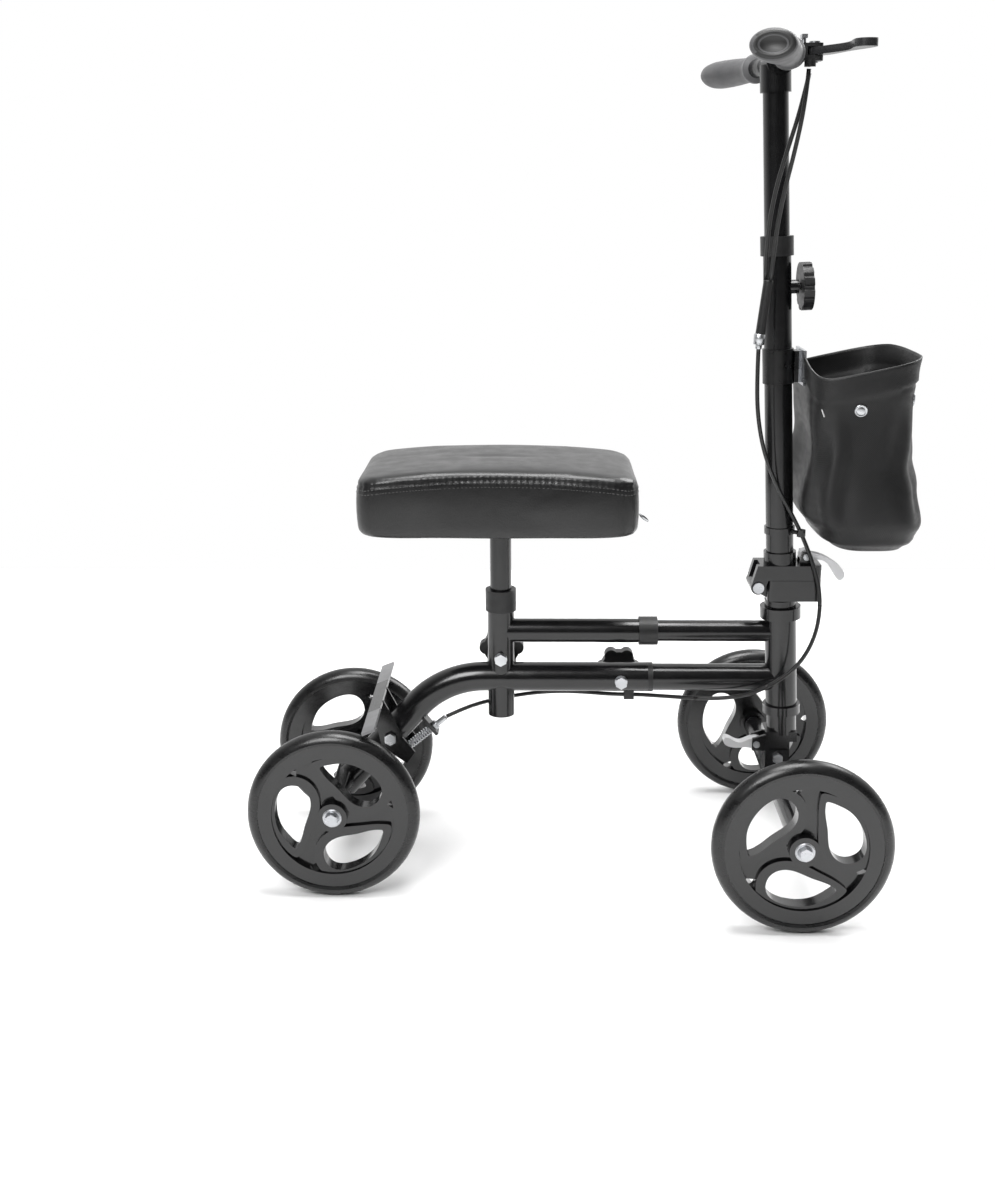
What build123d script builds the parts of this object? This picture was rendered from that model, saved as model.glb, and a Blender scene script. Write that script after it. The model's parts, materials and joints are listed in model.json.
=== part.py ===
from build123d import *
from math import atan2, cos, degrees, radians, sin, tan
import os

# Knee scooter: a padded knee rest on a telescopic two-beam frame, steered by a folding column.
# X runs forward from the rear axle while the pieces are made, +Y to the rider's left, Z up from
# the floor. Each piece is moved back by ORIGIN_X as it is written, to the middle of the floor box.
# All sizes are millimetres.

# ---- overall layout ----
WHEELBASE = 525.0
WHEEL_R = 100.0
REAR_HALF_TRACK = 107.0
FRONT_HALF_TRACK = 185.0
BASKET_FRONT = 675.0
BASKET_BELLY = 1.0
ORIGIN_X = (BASKET_FRONT + BASKET_BELLY - WHEEL_R) / 2
CUSHION_BOTTOM = 424.0
BAR_Z = 945.0

# ---- steering axis, raked back ----
RAKE = 2.3
HEAD_X = 525.0
HEAD_Z = 315.0

# ---- clearances ----
SLIDE = 0.1          # radial, telescopic tubes
RUN = 0.05           # radial, pins and bearings
GAP = 0.4            # between faces that move past each other

# ---- frame tubes ----
BEAM_Z = 228.0
BEAM_R = 17.45
BEAM_WALL = 1.35
BEAM_END = 368.0
BEND_X = 123.0
BEND_R = 110.0
TAIL_ANGLE = 48.0
TOP_BEAM_Z = 286.0
TOP_BEAM_R = 14.3
TOP_BEAM_WALL = 1.5
TUBE_WALL = 2.0
FRAME_TRAVEL = 50.0
LOWER_OVERLAP = 106.0
UPPER_OVERLAP = 96.0
COLLAR_STEP = 2.7
BEAM_COLLAR_LENGTH = 22.0
END_RING = 6.0

# ---- seat ----
SEAT_X = 192.0
SEAT_TUBE_R = 15.9
SEAT_TUBE_BOTTOM = 181.0
SEAT_TUBE_TOP = 325.0
SEAT_COLLAR_HEIGHT = 26.0
POST_R = 12.7
SEAT_TRAVEL = 50.0
SEAT_BOLT_Z = 255.6
CUSHION_LENGTH = 322.0
CUSHION_WIDTH = 190.0
CUSHION_HEIGHT = 76.0
CUSHION_CROWN = 10.0
CUSHION_CORNER = 34.0
PLATE_THICK = 9.0

# ---- clamp bolts and star knobs ----
CLAMP_BOLT_R = 4.0
FRAME_BOLT_X = 335.5
HEX_R = 7.5
HEX_HEIGHT = 5.5
STAR_R = 27.0
STAR_LOBE_R = 8.0
STAR_THICK = 14.0
STAR_LOBES = 6

# ---- wheels ----
AXLE_TUBE_R = 12.5
REAR_AXLE_HALF = 88.0
FRONT_AXLE_HALF = 165.0
RIM_R = 87.0
RIM_INNER_R = 71.0
RIM_HALF = 11.0
TYRE_HALF = 13.0
WEB_HALF = 4.0
LIP_HALF = 8.5
LIP_WIDTH = 11.0
HUB_R = 17.0
HUB_HALF = 15.0
BEARING_R = 11.0
BEARING_WIDTH = 7.0
AXLE_BOLT_R = 4.0
SPOKES = 3
WHEEL_TURNS = {"rear_right": 35.0, "rear_left": -26.0, "front_right": 0.0, "front_left": 28.0}
GAP_TURN = 95.0

# ---- head, fork and fold ----
HEAD_TUBE_R = 18.5
HEAD_BOTTOM = 196.0
HEAD_TOP = 304.0
CUP_HEIGHT = 11.0
UPPER_CUP_HEIGHT = 14.0
UPPER_CUP_R = 24.0
LOWER_CUP_R = 22.0
STEERER_R = 12.7
HEAD_BEARING_R = 18.0
BLOCK_BOTTOM = 328.0
BLOCK_TOP = 353.0
BLOCK_FRONT = 569.0
BLOCK_HALF = 20.0
FLANGE_THICK = 18.0
PIN_X = 495.0
PIN_Z = 345.0
PIN_R = 4.0
KNUCKLE_R = 8.5
KNUCKLE_HALF = 9.7
FORK_BOX = 29.0
FORK_X = 524.5
FORK_BOLT_Z = 132.0

# ---- column, stem and bar ----
COLUMN_R = 15.9
COLUMN_TOP = 748.0
STEM_R = 14.3
STEM_BOTTOM = 600.0
STEM_TRAVEL = 150.0
KNOB_Z = 695.0
KNOB_R = 27.5
KNOB_THICK = 12.0
BAR_R = 11.1
BAR_SWEEP = 30.0
STEM_TOP = BAR_Z - BAR_R - 2
GRIP_START_Y = 106.0
GRIP_END_Y = 214.0
LEVER_PIVOT = (527.0, -82.0, 948.0)

# ---- basket ----
BASKET_BACK = 541.0
BASKET_HALF = 92.0
BASKET_TOP = 621.0
BASKET_FLOOR = 402.0
BASKET_WALL = 3.0
BASKET_CORNER = 50.0
BASKET_WAIST = 12.0
BRACKET_LOW = 585.0
BRACKET_HIGH = 625.0

# ---- rear brake ----
BRAKE_X = 58.7
BRAKE_Z = 157.8
YOKE_Y = 21.0
YOKE_THICK = 3.0
SHOE_INNER_Y = 50.0
SHOE_OUTER_Y = 116.0

# ---- quick-release levers ----
FOLD_LEVER_AT = (552.0, 380.0)
FORK_LEVER_AT = (500.0, 146.0)

# ---- brake cable ----
CABLE_R = 2.4
EYE_PLAY = 1.0
SPLITTER_TOP = (493.0, -40.0, 706.0)
SPLITTER_BOTTOM = (484.0, -40.0, 634.0)


def axis_at(height):
    """Point on the steering axis at one height above the floor."""
    return (HEAD_X + (HEAD_Z - height) * tan(radians(RAKE)), 0, height)


def steer_plane(height):
    """Plane square to the steering axis at one height, its x forward."""
    return Plane(origin=axis_at(height), x_dir=(cos(radians(RAKE)), 0, sin(radians(RAKE))),
                 z_dir=(-sin(radians(RAKE)), 0, cos(radians(RAKE))))


def rod(start, end, radius):
    """Solid round bar between two points."""
    axis = Vector(*end) - Vector(*start)
    return Solid.make_cylinder(radius, axis.length, Plane(origin=start, z_dir=axis))


def column_rod(low, high, radius):
    """Solid round bar along the steering axis between two heights."""
    return rod(axis_at(low), axis_at(high), radius)


def column_ring(low, high, outer, inner):
    """Ring around the steering axis between two heights."""
    return column_rod(low, high, outer) - column_rod(low - 1, high + 1, inner)


def cross_rod(x, z, radius, y_from, y_to):
    """Solid round bar across the scooter."""
    return rod((x, y_from, z), (x, y_to, z), radius)


def block(x_from, x_to, y_from, y_to, z_from, z_to):
    """Rectangular block between two corners."""
    middle = ((x_from + x_to) / 2, (y_from + y_to) / 2, (z_from + z_to) / 2)
    return Pos(*middle) * Box(x_to - x_from, y_to - y_from, z_to - z_from)


def side_plate(points, y_from, y_to):
    """Flat plate with an outline in the XZ plane, from one y to another."""
    outline = make_face(Polyline(*[(x, y_from, z) for x, z in points], close=True))
    return extrude(outline, y_to - y_from, dir=(0, 1, 0))


def hex_head(at, direction, radius=HEX_R, height=HEX_HEIGHT):
    """Hexagon bolt head standing on a point."""
    return extrude(Plane(origin=at, z_dir=direction) * RegularPolygon(radius, 6), height)


def tube_path(points, radius):
    """Straight runs joined by tangent arcs."""
    return FilletPolyline(*points, radius=radius)


def swept(path, radius):
    """Round bar along a path."""
    start = Plane(origin=path @ 0, z_dir=path % 0)
    return sweep(start * Circle(radius), path=path)


def write(shape, name):
    """Write one piece in the scooter's own frame."""
    export_step(Pos(-ORIGIN_X, 0, 0) * shape, f"parts/{name}.step")


def joined(shapes):
    """Separate solids kept together as one group."""
    return Compound(children=[solid for shape in shapes for solid in shape.solids()])


# ---- rear frame ----

def tail_start():
    """Lower end of the bent tail tube, just behind the axle tube."""
    run = (BEND_X - 8) / cos(radians(TAIL_ANGLE)) + 14
    return (BEND_X - run * cos(radians(TAIL_ANGLE)), 0, BEAM_Z - run * sin(radians(TAIL_ANGLE)))


def lower_beam(radius):
    """Tail tube and lower beam in one bent bar."""
    return swept(tube_path([tail_start(), (BEND_X, 0, BEAM_Z), (BEAM_END, 0, BEAM_Z)], BEND_R), radius)


def rear_frame():
    """Welded rear frame: axle tube, tail, lower and upper outer beams and seat tube."""
    seat_tube = rod((SEAT_X, 0, SEAT_TUBE_BOTTOM), (SEAT_X, 0, SEAT_TUBE_TOP), SEAT_TUBE_R)
    top_beam = rod((SEAT_X, 0, TOP_BEAM_Z), (BEAM_END, 0, TOP_BEAM_Z), TOP_BEAM_R)
    axle_tube = cross_rod(0, WHEEL_R, AXLE_TUBE_R, -REAR_AXLE_HALF, REAR_AXLE_HALF)
    shell = lower_beam(BEAM_R) + seat_tube + top_beam + axle_tube + adjuster_tab()
    hollow = lower_beam(BEAM_R - BEAM_WALL)
    hollow += rod((SEAT_X, 0, TOP_BEAM_Z), (BEAM_END, 0, TOP_BEAM_Z), TOP_BEAM_R - TOP_BEAM_WALL)
    hollow += rod((BEAM_END - 1, 0, BEAM_Z), (BEAM_END + 1, 0, BEAM_Z), BEAM_R - BEAM_WALL)
    frame = shell - (hollow - seat_tube - axle_tube)
    frame -= rod((SEAT_X, 0, 0), (SEAT_X, 0, SEAT_TUBE_TOP + 1), POST_R + SLIDE)
    frame -= cross_rod(0, WHEEL_R, AXLE_BOLT_R + RUN, -REAR_AXLE_HALF - 1, REAR_AXLE_HALF + 1)
    frame -= cross_rod(BRAKE_X, BRAKE_Z, PIN_R + RUN, -BEAM_R - 5, BEAM_R + 5)
    frame -= cross_rod(SEAT_X, SEAT_BOLT_Z, CLAMP_BOLT_R + RUN, -BEAM_R - 5, BEAM_R + 5)
    frame -= cross_rod(FRAME_BOLT_X, BEAM_Z, CLAMP_BOLT_R + RUN, -BEAM_R - 5, BEAM_R + 5)
    return frame - adjuster_hole()


def seat_tube_collar():
    """Moulded collar on top of the seat tube that the post slides through."""
    low = SEAT_TUBE_TOP - SEAT_COLLAR_HEIGHT / 2
    collar = rod((SEAT_X, 0, low), (SEAT_X, 0, low + SEAT_COLLAR_HEIGHT), SEAT_TUBE_R + 2.4)
    collar -= rod((SEAT_X, 0, low - 1), (SEAT_X, 0, SEAT_TUBE_TOP), SEAT_TUBE_R)
    return collar - rod((SEAT_X, 0, low), (SEAT_X, 0, low + 50), POST_R + SLIDE)


def beam_collars():
    """Flush end ring of the lower outer beam and stepped end collar of the upper one."""
    start = BEAM_END - BEAM_COLLAR_LENGTH / 2
    end = start + BEAM_COLLAR_LENGTH
    flush = rod((BEAM_END, 0, BEAM_Z), (BEAM_END + END_RING, 0, BEAM_Z), BEAM_R)
    flush -= rod((start, 0, BEAM_Z), (end, 0, BEAM_Z), BEAM_R - BEAM_WALL)
    stepped = rod((start, 0, TOP_BEAM_Z), (end, 0, TOP_BEAM_Z), TOP_BEAM_R + COLLAR_STEP)
    stepped -= rod((start - 1, 0, TOP_BEAM_Z), (BEAM_END, 0, TOP_BEAM_Z), TOP_BEAM_R)
    stepped -= rod((start, 0, TOP_BEAM_Z), (end + 1, 0, TOP_BEAM_Z), TOP_BEAM_R - TOP_BEAM_WALL)
    return joined([flush, stepped])


def clamp_bolt(x, z, tube_r):
    """Hexagon bolt across a tube, its thread ending inside the star knob."""
    bolt = cross_rod(x, z, CLAMP_BOLT_R, -tube_r - 1, tube_r + 8 + STAR_THICK / 2)
    washer = cross_rod(x, z, HEX_R, -tube_r - 2.5, -tube_r - 0.5)
    return bolt + washer + hex_head((x, -tube_r - 2.5, z), (0, -1, 0))


def clamp_bolts():
    """The seat and frame clamp bolts."""
    return joined([clamp_bolt(SEAT_X, SEAT_BOLT_Z, SEAT_TUBE_R), clamp_bolt(FRAME_BOLT_X, BEAM_Z, BEAM_R)])


def star_knob(x, z, tube_r):
    """Lobed plastic knob with a hub, on the far end of a clamp bolt."""
    face = tube_r + 1.0
    knob = cross_rod(x, z, HEX_R + 2, face, face + 8)
    knob += cross_rod(x, z, STAR_R - 5, face + 7, face + 7 + STAR_THICK)
    for lobe in range(STAR_LOBES):
        turn = radians(360 / STAR_LOBES * lobe)
        centre = (x + (STAR_R - STAR_LOBE_R) * cos(turn), z + (STAR_R - STAR_LOBE_R) * sin(turn))
        knob += cross_rod(*centre, STAR_LOBE_R, face + 7, face + 7 + STAR_THICK)
    return knob - cross_rod(x, z, CLAMP_BOLT_R + RUN, face - 1, tube_r + 8 + STAR_THICK / 2 + 1)


def star_knob_seat():
    """Knob of the seat clamp."""
    return star_knob(SEAT_X, SEAT_BOLT_Z, SEAT_TUBE_R)


def star_knob_frame():
    """Knob of the frame clamp."""
    return star_knob(FRAME_BOLT_X, BEAM_Z, BEAM_R)


# ---- wheels ----

# One opening of the wheel, as (radius, angle in degrees) around a rounded comma.
OPENING = ((58, 68), (46, 62), (35, 46), (27, 10), (34, -15), (49, -19), (64, -8), (67.5, 14),
           (66, 38), (62, 59))
OPENING_MIDDLE = (48, 18)


def polar(radius, angle):
    """Point in the wheel's own plane."""
    return (radius * cos(radians(angle)), radius * sin(radians(angle)))


def opening_face(turn, grow=0.0):
    """Comma-shaped window between two spokes, turned about the hub and grown from its middle."""
    middle = Vector(*polar(*OPENING_MIDDLE))
    points = []
    for radius, angle in OPENING:
        point = Vector(*polar(radius, angle))
        points.append(middle + (point - middle) * (1 + grow / (point - middle).length))
    return Rot(0, 0, turn) * make_face(Spline(*points, periodic=True))


def disc(outer, half):
    """Disc in the wheel's own frame, centred on its mid-plane."""
    return extrude(Circle(outer), half, both=True)


def rim():
    """Moulded three-spoke wheel with raised lips around its windows."""
    web = Circle(RIM_INNER_R + 1)
    lips = Circle(HUB_R)
    hub = Circle(HUB_R)
    for spoke in range(SPOKES):
        lips += opening_face(360 / SPOKES * spoke, LIP_WIDTH)
    for spoke in range(SPOKES):
        window = opening_face(360 / SPOKES * spoke)
        web -= window + rim_gap(360 / SPOKES * spoke + GAP_TURN)
        lips -= window
        hub -= window
    body = disc(RIM_R, RIM_HALF) - disc(RIM_INNER_R, RIM_HALF)
    for face, half in ((web, WEB_HALF), (lips, LIP_HALF), (hub, HUB_HALF)):
        body += extrude(face, half, both=True)
    body -= disc(BEARING_R - 2, HUB_HALF + 1)
    for side in (-1, 1):
        seat = side * (HUB_HALF - BEARING_WIDTH / 2 + 0.5)
        body -= Pos(0, 0, seat) * disc(BEARING_R + RUN, BEARING_WIDTH / 2 + 0.5)
    return body


def rim_gap(turn):
    """Small three-cornered gap between two lips at the rim."""
    outer = RIM_INNER_R + 1
    return make_face(Polyline(polar(outer, turn - 5), polar(outer, turn + 5), polar(outer - 10, turn + 2),
                              close=True))


def tyre():
    """Solid tyre with a rounded tread, moulded on the rim."""
    crown = ThreePointArc((RIM_R + 3, -TYRE_HALF), (WHEEL_R, 0), (RIM_R + 3, TYRE_HALF))
    walls = Polyline((RIM_R + 3, TYRE_HALF), (RIM_R, TYRE_HALF - 1), (RIM_R, 1 - TYRE_HALF),
                     (RIM_R + 3, -TYRE_HALF))
    profile = Plane.XZ * make_face([crown, walls])
    return revolve(profile, Axis.Z)


def wheel_place(x, y, turn):
    """Puts a piece made around Z on an axle across the scooter, rolled by a turn in degrees."""
    return Pos(x, y, WHEEL_R) * Rot(90, 0, 0) * Rot(0, 0, turn)


def wheel_bearings(x, half_track):
    """Two ball bearings in each hub of one axle."""
    rings = []
    for side in (-1, 1):
        for end in (-1, 1):
            middle = side * half_track + end * (HUB_HALF - BEARING_WIDTH / 2)
            ends = (middle - BEARING_WIDTH / 2, middle + BEARING_WIDTH / 2)
            ring = cross_rod(x, WHEEL_R, BEARING_R, *ends)
            rings.append(ring - cross_rod(x, WHEEL_R, AXLE_BOLT_R, ends[0] - 1, ends[1] + 1))
    return joined(rings)


def axle_bolts(x, half_track, tube_half):
    """Axle bolt at each end of an axle tube, with its spacer and washer."""
    bolts = []
    for side in (-1, 1):
        outer = side * (half_track + HUB_HALF)
        bolt = cross_rod(x, WHEEL_R, AXLE_BOLT_R, side * (tube_half - 30), outer + side)
        bolt += cross_rod(x, WHEEL_R, AXLE_BOLT_R + 2.5, side * tube_half,
                          side * (half_track - HUB_HALF))
        bolt += cross_rod(x, WHEEL_R, HEX_R, outer, outer + side * 2)
        bolts.append(bolt + hex_head((x, outer + side * 2, WHEEL_R), (0, side, 0)))
    return joined(bolts)


# ---- front frame ----

def front_frame():
    """Welded front frame: head tube with the two inner beams."""
    low_start = BEAM_END - LOWER_OVERLAP
    top_start = BEAM_END - UPPER_OVERLAP
    low_r = BEAM_R - BEAM_WALL - SLIDE
    top_r = TOP_BEAM_R - TOP_BEAM_WALL - SLIDE
    head = column_rod(HEAD_BOTTOM, HEAD_TOP, HEAD_TUBE_R)
    low_end, top_end = axis_at(BEAM_Z), axis_at(TOP_BEAM_Z)
    frame = rod((low_start, 0, BEAM_Z), low_end, low_r) + rod((top_start, 0, TOP_BEAM_Z), top_end, top_r)
    frame -= rod((low_start - 1, 0, BEAM_Z), low_end, low_r - TUBE_WALL)
    frame -= rod((top_start - 1, 0, TOP_BEAM_Z), top_end, top_r - TUBE_WALL)
    frame = (frame - head) + head
    frame -= column_rod(HEAD_BOTTOM - 5, HEAD_TOP + 5, HEAD_TUBE_R - 3)
    slot_from = FRAME_BOLT_X - FRAME_TRAVEL
    reach = CLAMP_BOLT_R + GAP
    slot = block(slot_from, FRAME_BOLT_X, -30, 30, BEAM_Z - reach, BEAM_Z + reach)
    slot += cross_rod(slot_from, BEAM_Z, reach, -30, 30) + cross_rod(FRAME_BOLT_X, BEAM_Z, reach, -30, 30)
    return frame - slot


def headset_cups():
    """Bearing cups pressed against both ends of the head tube."""
    upper = column_ring(HEAD_TOP, HEAD_TOP + UPPER_CUP_HEIGHT, UPPER_CUP_R, HEAD_BEARING_R)
    lower = column_ring(HEAD_BOTTOM - CUP_HEIGHT, HEAD_BOTTOM, LOWER_CUP_R, HEAD_BEARING_R)
    return joined([upper, lower])


def headset_bearings():
    """Two steering bearings inside the cups."""
    bore = STEERER_R + RUN
    upper = column_ring(HEAD_TOP + 2, HEAD_TOP + UPPER_CUP_HEIGHT - 2, HEAD_BEARING_R, bore)
    lower = column_ring(HEAD_BOTTOM - CUP_HEIGHT + 2, HEAD_BOTTOM - 1, HEAD_BEARING_R, bore)
    return joined([upper, lower])


# ---- fork and fold block ----

def fork():
    """Steerer, crown, square leg and front axle tube in one weldment."""
    crown_top = HEAD_BOTTOM - CUP_HEIGHT - 1
    half = FORK_BOX / 2
    steerer = column_rod(150, BLOCK_TOP - 1, STEERER_R) - column_rod(160, BLOCK_TOP, STEERER_R - 2.5)
    crown = column_rod(160, crown_top, HEAD_TUBE_R - 1)
    leg = block(FORK_X - half, FORK_X + half, -half, half, WHEEL_R, 156)
    shoulder = block(FORK_X - half, FORK_X + half + 8, -half - 2, half + 2, 152, 164)
    axle = cross_rod(WHEELBASE, WHEEL_R, AXLE_TUBE_R, -FRONT_AXLE_HALF, FRONT_AXLE_HALF)
    gussets = [side_plate([(512, WHEEL_R), (538, WHEEL_R), (536, 142), (514, 142)], y, y + side * 3)
               for side in (-1, 1) for y in (side * half,)]
    frame = steerer + crown + leg + shoulder + axle + gussets[0] + gussets[1]
    frame -= cross_rod(WHEELBASE, WHEEL_R, AXLE_BOLT_R + RUN, -FRONT_AXLE_HALF - 1, FRONT_AXLE_HALF + 1)
    return frame - cross_rod(FORK_X, FORK_BOLT_Z, CLAMP_BOLT_R, -half - 5, half + 5)


def fork_bolt():
    """Bolt and nut through the square leg."""
    face = FORK_BOX / 2 + 3
    bolt = cross_rod(FORK_X, FORK_BOLT_Z, CLAMP_BOLT_R, -face - 1, face + 1)
    bolt += hex_head((FORK_X, -face, FORK_BOLT_Z), (0, -1, 0), 6.5, 4.5)
    return bolt + hex_head((FORK_X, face, FORK_BOLT_Z), (0, 1, 0), 6.5, 4.5)


def fork_bracket():
    """Stop bracket and lever ears behind the leg."""
    rear = FORK_X - FORK_BOX / 2
    ears = side_plate([(rear, 138), (FORK_LEVER_AT[0] - 5, 138), (FORK_LEVER_AT[0] - 5, 153), (rear, 158)],
                      -10, -6.4)
    ears += side_plate([(rear, 138), (FORK_LEVER_AT[0] - 5, 138), (FORK_LEVER_AT[0] - 5, 153),
                        (rear, 158)], 6.4, 10)
    ears += block(rear - 2.5, rear, -10, 10, 138, 152)
    return ears - cross_rod(*FORK_LEVER_AT, PIN_R, -11, 11)


def fork_fasteners():
    """Leg bolt and cam pin of the fork."""
    return joined([fork_bolt(), cross_rod(*FORK_LEVER_AT, PIN_R, -12, 12)])


def headset_nut():
    """Adjusting nut on the steerer, above the upper bearing."""
    low = HEAD_TOP + UPPER_CUP_HEIGHT + GAP
    return column_ring(low, BLOCK_BOTTOM - 1.4, HEAD_TUBE_R, STEERER_R)


def fold_block():
    """Lower half of the fold: clamped on the steerer, with the rear knuckle and front slot."""
    rear = PIN_X + KNUCKLE_R + 3
    body = block(rear, BLOCK_FRONT, -BLOCK_HALF, BLOCK_HALF, BLOCK_BOTTOM, BLOCK_TOP)
    body = fillet(body.edges().filter_by(Axis.Z), 6)
    lug = side_plate([(rear + 1, 330), (PIN_X, PIN_Z - KNUCKLE_R), (PIN_X, PIN_Z + 7), (rear + 1, BLOCK_TOP)],
                     -KNUCKLE_HALF, KNUCKLE_HALF)
    body += lug + cross_rod(PIN_X, PIN_Z, KNUCKLE_R, -KNUCKLE_HALF, KNUCKLE_HALF)
    body -= column_rod(BLOCK_BOTTOM - 2, BLOCK_TOP + 2, STEERER_R)
    body -= block(FOLD_LEVER_AT[0] - 6, BLOCK_FRONT + 1, -5, 5, BLOCK_BOTTOM - 1, BLOCK_TOP + 1)
    return body - cross_rod(PIN_X, PIN_Z, PIN_R, -30, 30)


def fold_pin():
    """Hinge pin across the fold, with a head at each end."""
    pin = cross_rod(PIN_X, PIN_Z, PIN_R, -BLOCK_HALF - 2, BLOCK_HALF + 2)
    for side in (-1, 1):
        pin += cross_rod(PIN_X, PIN_Z, 6.5, side * (BLOCK_HALF + GAP), side * (BLOCK_HALF + 3))
    return pin


# ---- column ----

def column_foot():
    """Upper half of the fold: flange, rear ears around the pin and socket for the column."""
    low = BLOCK_TOP + GAP
    high = BLOCK_TOP + FLANGE_THICK
    foot = block(PIN_X + 3, BLOCK_FRONT, -BLOCK_HALF, BLOCK_HALF, low, high)
    foot = fillet(foot.edges().filter_by(Axis.Z), 6)
    for side in (-1, 1):
        ends = sorted((side * (KNUCKLE_HALF + GAP), side * BLOCK_HALF))
        ear = side_plate([(PIN_X - KNUCKLE_R, PIN_Z), (PIN_X + KNUCKLE_R, PIN_Z), (PIN_X + 12, low + 1),
                          (PIN_X + 12, high), (PIN_X - 1, high)], *ends)
        foot += ear + cross_rod(PIN_X, PIN_Z, KNUCKLE_R, *ends)
    foot -= cross_rod(PIN_X, PIN_Z, PIN_R + RUN, -30, 30)
    foot += column_rod(high - 2, high + 14, COLUMN_R + 3)
    for side in (-1, 1):
        cheek = sorted((side * 7.0, side * 11.0))
        foot += side_plate([(FOLD_LEVER_AT[0] - 8, high - 1), (FOLD_LEVER_AT[0] + 8, high - 1),
                            (FOLD_LEVER_AT[0] + 5, FOLD_LEVER_AT[1] + 5), (FOLD_LEVER_AT[0] - 5,
                                                                          FOLD_LEVER_AT[1] + 5)], *cheek)
    foot -= block(FOLD_LEVER_AT[0] - 4, FOLD_LEVER_AT[0] + 4, -4, 4, low - 1, high + 1)
    foot -= cross_rod(*FOLD_LEVER_AT, PIN_R, -13, 13)
    return foot - column_rod(low + 6, high + 20, COLUMN_R)


def column_tube():
    """Steering column tube with the welded nut of the height knob."""
    tube = column_rod(BLOCK_TOP + 7, COLUMN_TOP, COLUMN_R)
    nut_from = (axis_at(KNOB_Z)[0], 0, KNOB_Z)
    tube += rod(nut_from, knob_point(COLUMN_R + 8), 8)
    tube -= column_rod(BLOCK_TOP, COLUMN_TOP + 5, STEM_R + SLIDE)
    return tube - rod(nut_from, knob_point(COLUMN_R + 10), CLAMP_BOLT_R + RUN)


def knob_point(reach):
    """Point on the height knob's axis, at a distance ahead of the steering axis."""
    x, y, z = axis_at(KNOB_Z)
    return (x + reach * cos(radians(RAKE)), y, z + reach * sin(radians(RAKE)))


def height_knob():
    """Round fluted knob on its clamp screw."""
    face = COLUMN_R + 10
    knob = rod(knob_point(face), knob_point(face + KNOB_THICK), KNOB_R)
    for flute in range(12):
        turn = radians(30 * flute)
        x, y, z = knob_point(face)
        edge = (x, y + (KNOB_R + 1.5) * cos(turn), z + (KNOB_R + 1.5) * sin(turn))
        ahead = (edge[0] + KNOB_THICK * cos(radians(RAKE)), edge[1], edge[2] + KNOB_THICK * sin(radians(RAKE)))
        knob -= rod(edge, ahead, 4)
    return knob + rod(knob_point(STEM_R + 2 * SLIDE), knob_point(face + 2), CLAMP_BOLT_R)


def column_collar():
    """Moulded collar at the top of the column."""
    high = COLUMN_TOP + 5
    collar = column_rod(high - 22, high, COLUMN_R + 2.9)
    collar -= column_rod(high - 30, COLUMN_TOP, COLUMN_R)
    return collar - column_rod(high - 30, high + 5, STEM_R + SLIDE)


def cable_clip(ring, eye_at, reach_from):
    """Band around a tube with a small eye for the cable."""
    eye_low = (eye_at[0], eye_at[1], eye_at[2] - 4)
    eye_high = (eye_at[0], eye_at[1], eye_at[2] + 4)
    clip = ring + rod(reach_from, eye_at, 2.5) + rod(eye_low, eye_high, CABLE_R + 2.6)
    return clip


def column_cable_clip():
    """Band on the column that holds the cable."""
    z = 411.0
    band = column_rod(z - 4, z + 4, COLUMN_R + 2)
    clip = cable_clip(band, (543, -19.5, z), axis_at(z))
    clip -= column_rod(z - 10, z + 10, COLUMN_R)
    for start, end in zip(COLUMN_CABLE[-3:], COLUMN_CABLE[-2:]):
        clip -= rod(start, end, CABLE_R + EYE_PLAY)
    return clip - Pos(*COLUMN_CABLE[-2]) * Sphere(CABLE_R + EYE_PLAY)


def beam_cable_clip():
    """Screwed clip under the lower beam collar that holds the cable."""
    z = BEAM_Z - BEAM_R - 5.2
    clip = block(340, 352, -5, 5, z - 4.5, BEAM_Z - BEAM_R + 3)
    clip -= rod((330, 0, BEAM_Z), (356, 0, BEAM_Z), BEAM_R)
    return clip - rod((330, 0, z), (360, 0, z), CABLE_R + EYE_PLAY)


def basket_bracket():
    """Bright plate clamped to the column that the basket hangs from."""
    band = column_ring(BRACKET_LOW, BRACKET_HIGH, COLUMN_R + 2, COLUMN_R)
    front = BASKET_BACK - 0.2
    x = axis_at(BRACKET_LOW)[0]
    plate = block(front - 3, front, -26, 26, BRACKET_LOW, BRACKET_HIGH)
    plate += block(x + COLUMN_R + 0.5, front - 2, -9, 9, BRACKET_LOW + 2, BRACKET_HIGH - 2)
    return band + (plate - column_rod(BRACKET_LOW - 9, BRACKET_HIGH + 9, COLUMN_R + 1))


def basket_section(z, back, front, half, corner, shrink):
    """Rounded rectangle of the basket at one height."""
    place = Pos((front + back) / 2, 0, z)
    return place * RectangleRounded(front - back - 2 * shrink, 2 * (half - shrink), corner)


def basket_form(shrink):
    """Outer or inner form of the soft basket: rounded floor, full belly, drawn-in waist."""
    floor = BASKET_FLOOR + shrink
    high = BASKET_TOP + (5 if shrink else 0)
    belly = BASKET_FRONT + BASKET_BELLY
    waist = BASKET_FRONT - BASKET_WAIST
    wide = BASKET_CORNER
    sections = [basket_section(floor, BASKET_BACK + 20, BASKET_FRONT - 20, BASKET_HALF - 16, wide - 12, shrink),
                basket_section(438, BASKET_BACK, belly, BASKET_HALF, wide, shrink),
                basket_section(500, BASKET_BACK, waist, BASKET_HALF - 3, wide, shrink),
                basket_section(high, BASKET_BACK, waist, BASKET_HALF, wide, shrink)]
    return loft(sections, ruled=True)


def basket():
    """Soft open basket as a thin closed shell."""
    return basket_form(0) - basket_form(BASKET_WALL)


# ---- stem, bar and grips ----

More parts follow.
